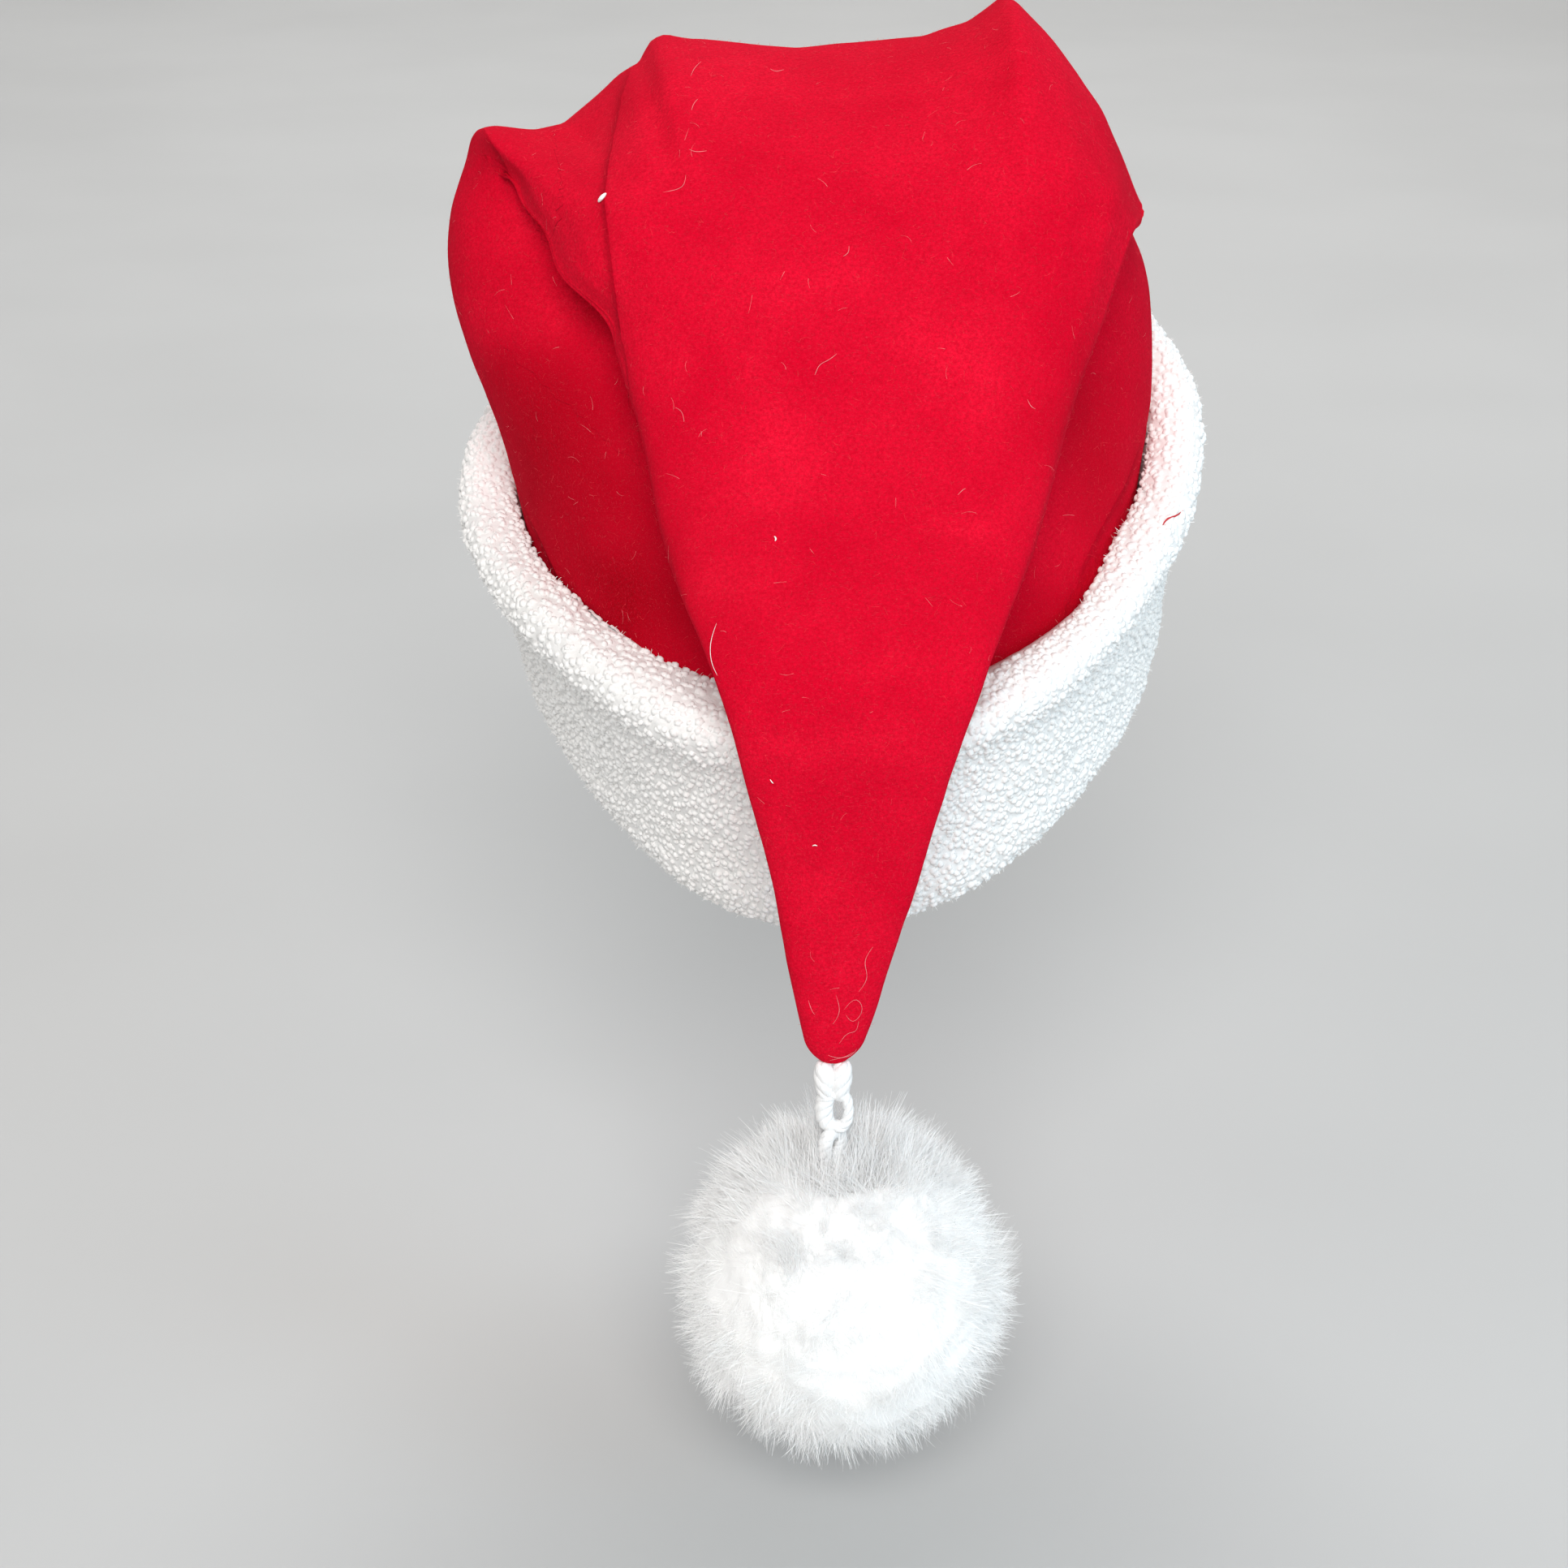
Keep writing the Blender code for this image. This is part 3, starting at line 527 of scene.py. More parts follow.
class Nodes:
    """Short calls for the nodes of one material."""

    def __init__(self, name):
        self.material = bpy.data.materials.new(name)
        self.material.use_nodes = True
        self.tree = self.material.node_tree
        self.surface = self.tree.nodes["Principled BSDF"]
        self.coords = self.tree.nodes.new("ShaderNodeTexCoord").outputs["Object"]

    def wire(self, source, target):
        """Links a socket to the target, or sets the target to a plain value."""
        if isinstance(source, bpy.types.NodeSocket):
            self.tree.links.new(source, target)
        else:
            target.default_value = source

    def noise(self, scale, detail=3.0, roughness=0.6, stretch=None, turn=None, distortion=0.0):
        """Noise over the piece with so many waves a metre, if wished drawn out and turned."""
        node = self.tree.nodes.new("ShaderNodeTexNoise")
        node.inputs["Scale"].default_value = scale
        node.inputs["Detail"].default_value = detail
        node.inputs["Roughness"].default_value = roughness
        node.inputs["Distortion"].default_value = distortion
        self.tree.links.new(self.place(stretch, turn), node.inputs["Vector"])
        return node.outputs["Fac"]

    def place(self, stretch=None, turn=None):
        """The piece's own coordinates, stretched and turned if either is given."""
        if stretch is None and turn is None:
            return self.coords
        node = self.tree.nodes.new("ShaderNodeMapping")
        node.inputs["Scale"].default_value = stretch or (1, 1, 1)
        node.inputs["Rotation"].default_value = turn or (0, 0, 0)
        self.tree.links.new(self.coords, node.inputs["Vector"])
        return node.outputs["Vector"]

    def attribute(self, name):
        node = self.tree.nodes.new("ShaderNodeAttribute")
        node.attribute_name = name
        return node.outputs["Fac"]

    def spread(self, value, low, high, to_low=0.0, to_high=1.0):
        """The value's range from low to high becomes that from to_low to to_high, and is cut off there."""
        node = self.tree.nodes.new("ShaderNodeMapRange")
        for key, number in zip(("From Min", "From Max", "To Min", "To Max"), (low, high, to_low, to_high)):
            node.inputs[key].default_value = number
        self.wire(value, node.inputs["Value"])
        return node.outputs["Result"]

    def sum(self, operation, a, b):
        node = self.tree.nodes.new("ShaderNodeMath")
        node.operation = operation
        self.wire(a, node.inputs[0])
        self.wire(b, node.inputs[1])
        return node.outputs[0]

    def mix(self, share, first, second):
        """A colour between the first at a share of 0 and the second at a share of 1."""
        node = self.tree.nodes.new("ShaderNodeMix")
        node.data_type = "RGBA"
        self.wire(share, node.inputs[0])
        self.wire(first, node.inputs[6])
        self.wire(second, node.inputs[7])
        return node.outputs[2]

    def mottle(self, colour, blotch, scale, low, high, strength=1.0):
        """The colour with soft blotches of another, by the shared group."""
        node = self.tree.nodes.new("ShaderNodeGroup")
        node.node_tree = mottle_group()
        names = ("Colour", "Blotch", "Scale", "Low", "High", "Strength")
        for key, value in zip(names, (colour, blotch, scale, low, high, strength)):
            self.wire(value, node.inputs[key])
        self.tree.links.new(self.coords, node.inputs["Place"])
        return node.outputs["Colour"]

    def bump(self, height, distance, strength=1.0, under=None):
        """Fine relief of so many metres, laid over the relief under it."""
        node = self.tree.nodes.new("ShaderNodeBump")
        node.inputs["Strength"].default_value = strength
        node.inputs["Distance"].default_value = distance
        self.tree.links.new(height, node.inputs["Height"])
        if under is not None:
            self.tree.links.new(under, node.inputs["Normal"])
        return node.outputs["Normal"]

    def finish(self, colour, roughness, normal=None, sheen=0.0, sheen_tint=(1, 1, 1, 1), specular=0.3):
        """Wires what changes over the surface and sets the rest on the shader itself."""
        self.wire(colour, self.surface.inputs["Base Color"])
        self.wire(roughness, self.surface.inputs["Roughness"])
        self.surface.inputs["Specular IOR Level"].default_value = specular
        self.surface.inputs["Sheen Weight"].default_value = sheen
        self.surface.inputs["Sheen Roughness"].default_value = 0.5
        self.surface.inputs["Sheen Tint"].default_value = sheen_tint
        if normal is not None:
            self.tree.links.new(normal, self.surface.inputs["Normal"])
        return self.material


def felt_material():
    """Pressed red felt: worn patches, fine grain, fibres that lie every way, and sharp edges of its folds."""
    n = Nodes("red_felt_nap")
    blotch = n.noise(34, 3, 0.55, distortion=0.5)
    rubbed = n.sum("MULTIPLY", n.attribute("rubbed"), n.spread(n.noise(90, 4, 0.65), 0.3, 0.62, 0.45, 1.1))
    light = n.sum("ADD", n.spread(blotch, 0.36, 0.70, 0.0, 0.60), n.sum("MULTIPLY", rubbed, 0.75))
    red = n.mix(light, (0.74, 0.0020, 0.0250, 1), (0.96, 0.0078, 0.0400, 1))
    # painted shade: the panels under the fold, and a little of the felt's inside, are drawn towards this deep
    # red
    red = n.mix(n.attribute("painted_panel_shade"), red, (0.31, 0.0002, 0.0045, 1))
    grain = n.spread(n.noise(1150, 5, 0.75), 0.32, 0.68)
    red = n.mix(n.sum("MULTIPLY", grain, 0.80), red, (0.51, 0.0008, 0.0130, 1))
    first = n.spread(n.noise(900, 2, 0.5, (1, 7, 7), (0.3, 0.2, 0.6)), 0.62, 0.72)
    second = n.spread(n.noise(900, 2, 0.5, (7, 1, 7), (0.5, 0.1, -0.4)), 0.63, 0.73)
    third = n.spread(n.noise(900, 2, 0.5, (7, 7, 1), (0.2, 0.7, 0.3)), 0.62, 0.72)
    fibres = n.sum("MAXIMUM", first, n.sum("MAXIMUM", second, third))
    red = n.mix(n.sum("MULTIPLY", fibres, 0.30), red, (0.95, 0.07, 0.12, 1))
    # painted shadow: felt on the under side of each fold's edge is drawn darker, fading over 5 mm from it
    fold = n.attribute("fold")
    under = n.spread(fold, -0.0050, -0.0001, 0.0, 1.0)
    under = n.sum("MULTIPLY", n.sum("MULTIPLY", under, under), n.spread(fold, -0.0001, 0.0004, 1.0, 0.0))
    shade = n.sum("MULTIPLY", under, n.spread(n.attribute("fold_depth"), 0.0, 0.0016, 0.0, 0.62))
    red = n.mix(shade, red, (0.16, 0.0003, 0.004, 1))
    nap = n.bump(n.noise(1300, 4, 0.7), 0.00055, 0.8)
    nap = n.bump(fibres, 0.00022, 0.5, nap)
    nap = n.bump(n.noise(210, 3, 0.5), 0.0010, 0.40, nap)
    nap = n.bump(n.spread(fold, -0.0007, 0.0004), 0.0011, 0.8, nap)
    return n.finish(red, n.spread(grain, 0.0, 1.0, 0.88, 0.97), nap, 0.10, (1.0, 0.06, 0.12, 1), 0.02)


def fleece_material():
    """Curly white pile: pale nubs, painted shade in hollows, and painted red bounce light next to the felt.
    """
    n = Nodes("white_fleece_pile")
    # painted shade: the fleece is drawn darker towards the hollows of its pile
    pile = n.sum("MULTIPLY", n.attribute("pile"), n.spread(n.noise(900, 3), 0.25, 0.6, 0.80, 1.0))
    white = n.mix(pile, (0.83, 0.82, 0.805, 1), (0.955, 0.95, 0.94, 1))
    white = n.mottle(white, (0.89, 0.875, 0.85, 1), 26, 0.45, 0.7, 0.35)
    # painted reflection: a pink cast of red light bounced from the felt, on the fleece near it
    painted_red_bounce = n.sum("MULTIPLY", n.attribute("painted_red_bounce"), n.spread(n.noise(160, 3), 0.3, 0.6, 0.4, 1.0))
    white = n.mix(painted_red_bounce, white, (0.90, 0.60, 0.60, 1))
    curl = n.bump(n.noise(700, 4, 0.65), 0.0007, 0.30)
    curl = n.bump(n.noise(1900, 3, 0.7), 0.0005, 0.38, curl)
    return n.finish(white, n.spread(pile, 0, 1, 0.97, 0.90), curl, 0.25, specular=0.1)


def curl_material():
    """Single curls of the fleece, darker at the root than at the tip."""
    n = Nodes("white_fleece_curls")
    white = n.mix(n.attribute("along"), (0.86, 0.85, 0.83, 1), (0.965, 0.96, 0.95, 1))
    # painted reflection: the same pink cast of red light bounced from the felt
    white = n.mix(n.attribute("painted_red_bounce"), white, (0.92, 0.66, 0.66, 1))
    white = n.mottle(white, (0.88, 0.865, 0.84, 1), 500, 0.3, 0.7, 0.25)
    return n.finish(white, n.spread(n.noise(800, 2), 0.3, 0.7, 0.88, 0.96), None, 0.25, specular=0.1)


def fur_material(name, root, tip):
    """Fine white fur: darker at the root than at the tip, and strands that differ a little."""
    n = Nodes(name)
    white = n.mix(n.spread(n.attribute("along"), 0.0, 0.8), root, tip)
    white = n.mix(n.spread(n.attribute("shade"), 0.0, 1.0, 0.0, 0.25), white, (0.88, 0.875, 0.86, 1))
    white = n.mottle(white, (0.90, 0.90, 0.91, 1), 60, 0.4, 0.7, 0.15)
    return n.finish(white, n.spread(n.attribute("shade"), 0, 1, 0.70, 0.85), None, 0.9, specular=0.2)


def yarn_material():
    """Soft white acrylic yarn: fine fibres along the plies and a few brighter hairs."""
    n = Nodes("white_yarn_plies")
    lines = n.noise(2600, 3, 0.6, (1, 1, 0.25), (0.4, 0.3, 0.0))
    white = n.mix(n.spread(lines, 0.35, 0.65), (0.86, 0.86, 0.855, 1), (0.95, 0.95, 0.955, 1))
    white = n.mottle(white, (0.84, 0.84, 0.83, 1), 300, 0.4, 0.7, 0.3)
    rough = n.spread(lines, 0.3, 0.7, 0.80, 0.92)
    return n.finish(white, rough, n.bump(lines, 0.0004, 0.7), 0.3, specular=0.25)


def plain_fibre_material(name, first, second):
    """A fibre that changes softly between two colours along its length."""
    n = Nodes(name)
    colour = n.mottle(first, second, 400, 0.35, 0.65)
    return n.finish(colour, n.spread(n.noise(900, 2), 0.3, 0.7, 0.75, 0.9), None, 0.2, specular=0.25)


# The pieces

def build_crown():
    """The felt: both skins of the tube, with soft dents, its folds and worn patches.

    Each outer point is the section's point, moved by the sum of each small move times exp(-(d / reach)^2),
    and then along its normal by 0.5 mm noise(22 mm) + 0.16 mm noise(6 mm) - the sum over the folds of
    depth exp(-d / fade) on the fold's left. Its attributes are how worn the nap is, how much painted shade
    the panels under the fold and the inside get, and the distance from the nearest fold.
    """
    outside = felt_rows(CROWN_AROUND)
    normal = grid_normals(outside)
    outward = unit(outside - outside.mean(axis=1, keepdims=True))
    normal *= np.sign((normal * outward).sum(axis=2).mean())
    middle = outside.mean(axis=1, keepdims=True)
    free = np.clip(np.linalg.norm(outside - middle, axis=2) / 0.012, 0.0, 1.0)
    free[:HEM_ROWS] = 0.0
    px, py = seen(outside)
    facing = np.clip(((np.array(CAMERA_AT) - outside) * normal).sum(axis=2) / 0.3, 0.0, 1.0)
    for x, y, reach, *move in FELT_MOVES:
        near = free * np.exp(-((px - x) ** 2 + (py - y) ** 2) / reach**2)
        outside = outside + near[..., None] * np.array(move)
    px, py = seen(outside)
    lift = FELT_DENT * smooth_noise(outside, 0.022, 3) + FELT_RIPPLE * smooth_noise(outside, 0.006, 5)
    metre = 0.9 / FOCAL_PIXELS
    fold, fold_depth = np.full(px.shape, 0.05), np.zeros(px.shape)
    for line, depth, fade in FELT_FOLDS:
        off = line_distance(px, py, line) * metre
        ends = np.min([np.hypot(px - x, py - y) for x, y in (line[0], line[-1])], axis=0) * metre
        strong = depth * facing * np.clip(ends / 0.006, 0.3, 1.0)
        back = np.clip(-off / 0.0012, 0.0, 1.0) * np.exp(np.minimum(off, 0.0) / fade)
        lift -= strong * back
        nearer = (np.abs(off) < np.abs(fold)) & (facing > 0)
        fold, fold_depth = np.where(nearer, off, fold), np.where(nearer, strong, fold_depth)
    dented = outside + normal * (lift * free)[..., None]
    tip = np.broadcast_to(dented[-1].mean(axis=0), (1, CROWN_AROUND, 3))
    inner = felt_inside(outside)[::4][:-1]
    inner[0] = felt_inside(outside)[0]
    inner = np.concatenate([inner, np.broadcast_to(inner[-1].mean(axis=0), (1, CROWN_AROUND, 3))])
    around = CROWN_AROUND
    rows = len(dented) + 1
    warp_x, warp_y = px + 26 * smooth_noise(outside, 0.014, 21), py + 26 * smooth_noise(outside, 0.014, 22)
    # worn patches of the nap, and painted shade on the panels under the fold
    worn, painted_panel_shade = (
        sum(
            strength * np.exp(-((warp_x - x) / half_width) ** 2 - ((warp_y - y) / half_height) ** 2)
            for x, y, half_width, half_height, strength in patches
        )
        for patches in (FELT_PATCHES, FELT_PAINTED_SHADE)
    )
    skin = {
        "rubbed": np.clip(worn * (0.35 + 0.65 * facing), 0, 1), "painted_panel_shade": np.clip(painted_panel_shade * facing, 0, 1),
        "fold": fold, "fold_depth": fold_depth,
    }
    # the inside of the felt gets a little painted shade
    lining = {"rubbed": 0.0, "painted_panel_shade": 0.3, "fold": 0.05, "fold_depth": 0.0}
    values = {
        key: np.concatenate([grid.ravel(), grid[-1], np.full(len(inner) * around, lining[key])])
        for key, grid in skin.items()
    }
    outer_faces = grid_faces(rows, around)
    inner_faces = grid_faces(len(inner), around, flip=True) + rows * around
    k = np.arange(around)
    after = (k + 1) % around
    rim = np.stack([k, rows * around + k, rows * around + after, after], axis=-1)
    points = np.concatenate([dented.reshape(-1, 3), tip[0], inner.reshape(-1, 3)])
    faces = np.concatenate([outer_faces, inner_faces, rim])
    crown = add_mesh("felt_crown_cloth", points, faces, felt_material(), values)
    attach(crown, "root")
    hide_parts("felt_crown")
    return crown, dented, normal


def cuff_loop(count):
    """Height and distance off the felt round the cuff's section on a smooth closed curve, finer outside."""
    table = np.array(CUFF_SECTION)
    thrice = np.concatenate([table, table, table])
    lengths = np.linalg.norm(np.diff(thrice * (CUFF_HEIGHT, CUFF_THICKNESS), axis=0), axis=1)
    knots = np.concatenate([[0.0], np.cumsum(lengths)])
    start, end = knots[len(table)], knots[2 * len(table)]
    probe = np.linspace(start, end, 2000)
    offs = natural_spline(knots, thrice, probe)[:, 1]
    dense = np.cumsum(np.where(offs > 0.25, 1.0, 0.22))
    at = np.interp(np.linspace(dense[0], dense[-1], count, endpoint=False), dense, probe)
    return natural_spline(knots, thrice, at)


def cuff_surface(heights, offs, around):
    """Points of the cuff for each height and distance of its section and each of around bearings."""
    turn = np.linspace(0.0, 2 * math.pi, around, endpoint=False)
    foot = [-np.cos(turn) * HEM_WIDTH / 2, np.sin(turn) * HEM_LENGTH / 2, np.full(around, HEM_LIFT)]
    foot = head_to_part(np.stack(foot, axis=-1))
    top = felt_rows(around)[HEM_ROWS]
    top_height = CUFF_HEIGHT + CROWN_SECTIONS["cuff_top"][1] * CROWN_RISE
    axis = head_to_part([0.0, 0.0, 1.0])
    outward = (foot + top) / 2 - (foot + top).mean(axis=0) / 2
    outward = unit(outward - np.outer(outward @ axis, axis))
    right, back = head_to_part([1.0, 0.0, 0.0]), head_to_part([0.0, 1.0, 0.0])
    sways = cuff_sway(np.arctan2(outward @ back, outward @ right))
    up, out = cuff_face(heights[:, None], np.maximum(offs, 0.0)[:, None], sways[None])
    share = np.minimum((up - HEM_LIFT) / (top_height - HEM_LIFT), 1.0)[..., None]
    on_felt = foot + (top - foot) * share + axis * np.maximum(up - top_height, 0.0)[..., None]
    return on_felt + outward * (SEAT_GAP + out)[..., None], outward


def felt_gap(ring, outward):
    """How far in from each point of the ring the felt lies, straight across the head, bearing by bearing."""
    axis = head_to_part([0.0, 0.0, 1.0])
    felt = felt_rows(CUFF_AROUND)[: HEM_ROWS + 34]
    felt_up, felt_away = felt @ axis, (felt * outward).sum(axis=2)
    up, away = ring @ axis, (ring * outward).sum(axis=2)
    across = [np.interp(up[:, k], felt_up[:, k], felt_away[:, k]) for k in range(CUFF_AROUND)]
    return away - np.stack(across, axis=1)


def on_grid(grid, row, column):
    """The value of a grid of closed rows between its points, by the shares of the four nearest ones."""
    low, left = np.floor(row).astype(int), np.floor(column).astype(int)
    up, over = (row - low)[:, None], (column - left)[:, None]
    rows, around = grid.shape[:2]
    high, right = np.minimum(low + 1, rows - 1), (left + 1) % around
    left = left % around
    near = grid[low, left] * (1 - over) + grid[low, right] * over
    far = grid[high, left] * (1 - over) + grid[high, right] * over
    return near * (1 - up) + far * up


def nubs(places, out, chance):
    """Points and faces of small round clumps: a top, a shoulder ring and a foot ring under the surface.

    A clump of width r and height h has its shoulder at 0.74 r and 0.70 h and its foot at r and -0.35 mm,
    each ring squeezed by up to a third along one direction.
    """
    count, sides = len(places), CUFF_NUB_SIDES
    across = unit(np.cross(out, chance.normal(size=(count, 3))))
    third = np.cross(out, across)
    width = chance.uniform(*NUB_WIDTH, (count, 1, 1))
    height = chance.uniform(*NUB_HEIGHT, (count, 1, 1))
    squeeze = chance.uniform(0.68, 1.0, (count, 1, 1))
    turn = np.linspace(0, 2 * math.pi, sides, endpoint=False)[None, :, None]
    ring = np.cos(turn) * across[:, None] + np.sin(turn) * third[:, None] * squeeze
    wobble = chance.uniform(0.88, 1.14, (count, sides, 1))
    shoulder = places[:, None] + ring * width * 0.74 * wobble + out[:, None] * height * 0.70
    foot = places[:, None] + ring * width - out[:, None] * NUB_FOOT
    top = places[:, None] + out[:, None] * height
    points = np.concatenate([top, shoulder, foot], axis=1)
    k = np.arange(sides)
    after = (k + 1) % sides
    caps = np.stack([np.zeros(sides, int), 1 + k, 1 + after], axis=-1)
    lower = np.stack([1 + k, 1 + sides + k, 1 + sides + after], axis=-1)
    upper = np.stack([1 + k, 1 + sides + after, 1 + after], axis=-1)
    one = np.concatenate([caps, lower, upper])
    faces = (np.arange(count) * (1 + 2 * sides))[:, None, None] + one[None]
    # painted shade: pile falls from the top to the foot of a clump, so the fleece is drawn darker at its foot
    pile = np.tile(np.concatenate([[1.0], np.full(sides, 0.86), np.full(sides, 0.15)]), count)
    return points.reshape(-1, 3), faces.reshape(-1, 3), pile


def build_cuff():
    """The fleece: the cuff's ring, round nubs of pile packed over it, and a few short curls.

    The slope behind the roll is moved in by up to 6.5 mm at the sides, so its pile leans on the felt. Each
    point is then moved along its normal by 0.8 mm nubs(4 mm) + 0.5 mm noise(9 mm) - 0.9 mm, faded out where
    it lies on the felt. The nubs stand one to each cell of 2.4 mm along and around, at a random place in it.
    """
    heights, offs = cuff_loop(CUFF_ROWS).T
    ring, outward = cuff_surface(heights, offs, CUFF_AROUND)
    slope = (np.clip((0.66 - offs) / 0.40, 0.0, 1.0) * np.clip((heights - 0.88) / 0.04, 0.0, 1.0))[:, None]
    where = np.clip((0.012 - ring[..., 0]) / 0.030, 0.0, 1.0)
    where = where + np.clip((ring[..., 0] - 0.060) / 0.016, 0.0, 1.0)
    lean = where * np.clip(felt_gap(ring, outward) - 0.0006, 0.0, SLOPE_LEAN)
    ring = ring - outward * (slope * lean)[..., None]
    wrapped = np.concatenate([ring[-1:], ring, ring[:1]])
    normal = grid_normals(wrapped)[1:-1]
    middle = ring.mean(axis=0)
    normal *= np.sign((normal * unit(ring - middle)).sum(axis=2).mean())
    free = np.clip((offs - 0.10) / 0.30, 0.0, 1.0)[:, None]
    free = np.maximum(free, 0.7 * slope)
    large, soft = nub_height(ring, 0.0040, 31), smooth_noise(ring, 0.009, 51)
    points = ring + normal * (free * (0.0008 * large + 0.0005 * soft - 0.0009))[..., None]
    # painted reflection: how much pink light bounced from the felt is drawn on the fleece near it
    near = np.clip(1 - (offs - 0.05) / 0.38, 0.0, 1.0) * np.clip((heights - 0.85) / 0.08, 0.0, 1.0)
    painted_red_bounce = np.broadcast_to(0.30 * near[:, None], large.shape)
    faces = grid_faces(CUFF_ROWS, CUFF_AROUND, closed_rows=True)
    fleece = fleece_material()
    # painted shade: pile follows the nub height, so the fleece is drawn darker in its hollows
    cuff = add_mesh("fleece_cuff_pile", points, faces, fleece, {"pile": 0.25 + 0.5 * large, "painted_red_bounce": painted_red_bounce})
    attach(cuff, "root")
    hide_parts("fleece_cuff")
    chance = np.random.default_rng(17)
    step = np.linalg.norm(np.diff(ring, axis=0), axis=2).mean(axis=1)
    length = np.concatenate([[0.0], np.cumsum(step * (free[1:, 0] > 0.3))])
    bands = int(length[-1] / CUFF_NUB_PITCH)
    loop = ring[CUFF_ROWS // 3]
    around = int(np.linalg.norm(loop - np.roll(loop, 1, axis=0), axis=1).sum() / CUFF_NUB_PITCH)
    band, cell = (grid.ravel() for grid in np.meshgrid(np.arange(bands), np.arange(around), indexing="ij"))
    at = (band + chance.uniform(0.1, 0.9, band.size)) * CUFF_NUB_PITCH
    row = np.interp(at, length + np.arange(len(length)) * 1e-9, np.arange(len(length), dtype=float))
    column = (cell + 0.5 * (band % 2) + chance.uniform(0.1, 0.9, cell.size)) / around * CUFF_AROUND
    places, out = on_grid(points, row, column), unit(on_grid(normal, row, column))
    red_bounce_share = on_grid(painted_red_bounce[..., None], row, column)[:, 0]
    made, corners, pile = nubs(places, out, chance)
    nub_red_bounce = np.repeat(red_bounce_share, 1 + 2 * CUFF_NUB_SIDES)
    coat = add_mesh("fleece_cuff_nubs", made, corners, fleece, {"pile": pile, "painted_red_bounce": nub_red_bounce})
    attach(coat, "root")
    chosen = chance.choice(len(places), CUFF_CURLS)
    roots, out = places[chosen], out[chosen]
    sideways = unit(np.cross(out, chance.normal(size=(CUFF_CURLS, 3))))
    roots = roots + out * 0.0004 + sideways * chance.uniform(0.0, 0.0010, (CUFF_CURLS, 1))
    length = chance.uniform(*CURL_LENGTH, (CUFF_CURLS, 1))
    heads = roots + out * length * 0.8 + sideways * length * 0.55
    bends = out * length * 0.45
    across = np.cross(out, sideways)
    width = chance.uniform(*CURL_WIDTH, CUFF_CURLS)
    made, curls, along = ribbons(roots, heads, bends, across, width, 3, 0.35)
    curl_red_bounce = np.repeat(red_bounce_share[chosen], 8)
    coat = add_mesh("fleece_cuff_curls", made, curls, curl_material(), {"along": along, "painted_red_bounce": curl_red_bounce})
    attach(coat, "root")


def fibonacci_sphere(count):
    """Evenly spread directions: turns by the golden angle with evenly falling heights."""
    k = np.arange(count) + 0.5
    z = 1 - 2 * k / count
    turn = math.pi * (3 - math.sqrt(5)) * k
    flat = np.sqrt(1 - z * z)
    return np.stack([flat * np.cos(turn), flat * np.sin(turn), z], axis=-1)


def fur_coat(name, seed, reach, spread, droop, material):
    """Hairs over the pompom that lean together in locks.

    A hair's head is reach out along unit(direction (1 - pull) + its lock's middle pull + its lock's lean),
    with spread of its own. It hangs by droop at the sides, rises round the tie and keeps clear of it.
    """
    chance = np.random.default_rng(seed)
    centre = pompom_centre()
    direction = fibonacci_sphere(FUR_STRANDS)
    direction = unit(direction + chance.normal(size=direction.shape) * 0.02)
    root_radius = POMPOM_CORE / 2 * 0.95
    tie = tie_top() - centre
    from_tie = direction[:, :2] * root_radius - tie[:2]
    clear = (direction[:, 2] < 0.0) | (np.linalg.norm(from_tie, axis=1) > FUR_CLEAR_OF_TIE)
    direction = direction[clear]
    count = len(direction)
    middles = unit(chance.normal(size=(FUR_LOCKS, 3)))
    nearest = np.empty(count, int)
    for start in range(0, count, 4000):
        nearest[start : start + 4000] = np.argmax(direction[start : start + 4000] @ middles.T, axis=1)
    lean = chance.normal(size=(FUR_LOCKS, 3)) * 0.16
    pull = chance.uniform(0.35, 0.72, (count, 1))
    aim = unit(direction * (1 - pull) + middles[nearest] * pull + lean[nearest])
    aim = unit(aim + chance.normal(size=(count, 3)) * spread)
    lock_reach = chance.uniform(0.90, 1.03, FUR_LOCKS)[nearest]
    far = reach * lock_reach * chance.uniform(0.88, 1.02, count)
    rising = np.clip((direction[:, 2] - 0.50) / 0.42, 0, 1)
    far = far + rising**1.5 * (0.0036 + 0.0032 * chance.uniform(0.0, 1.0, count) ** 2)
    roots = centre + direction * root_radius
    heads = centre + aim * far[:, None] + (0.0012 * np.clip(direction[:, :1], 0, 1) * [[1.0, 0.0, 0.3]])
    beside = heads[:, :2] - tie_top()[:2]
    gap = np.linalg.norm(beside, axis=1, keepdims=True)
    heads[:, :2] += np.where(direction[:, 2:] > 0.6, unit(beside) * np.clip(0.0064 - gap, 0.0, None), 0.0)
    down = np.clip(1 - np.abs(direction[:, 2:]), 0, 1) * np.array([[0.0, 0.0, -1.0]])
    heads = heads + down * droop
    bends = (direction * 0.5 - aim * 0.15) * 0.004
    side = unit(np.cross(direction, chance.normal(size=(count, 3))))
    points, faces, along = ribbons(roots, heads, bends, side, chance.uniform(*FUR_WIDTH, count), 2, 0.22)
    shade = np.repeat(chance.uniform(0, 1, count), 6)
    coat = add_mesh(name, points, faces, material, {"along": along, "shade": shade})
    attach(coat, "root")


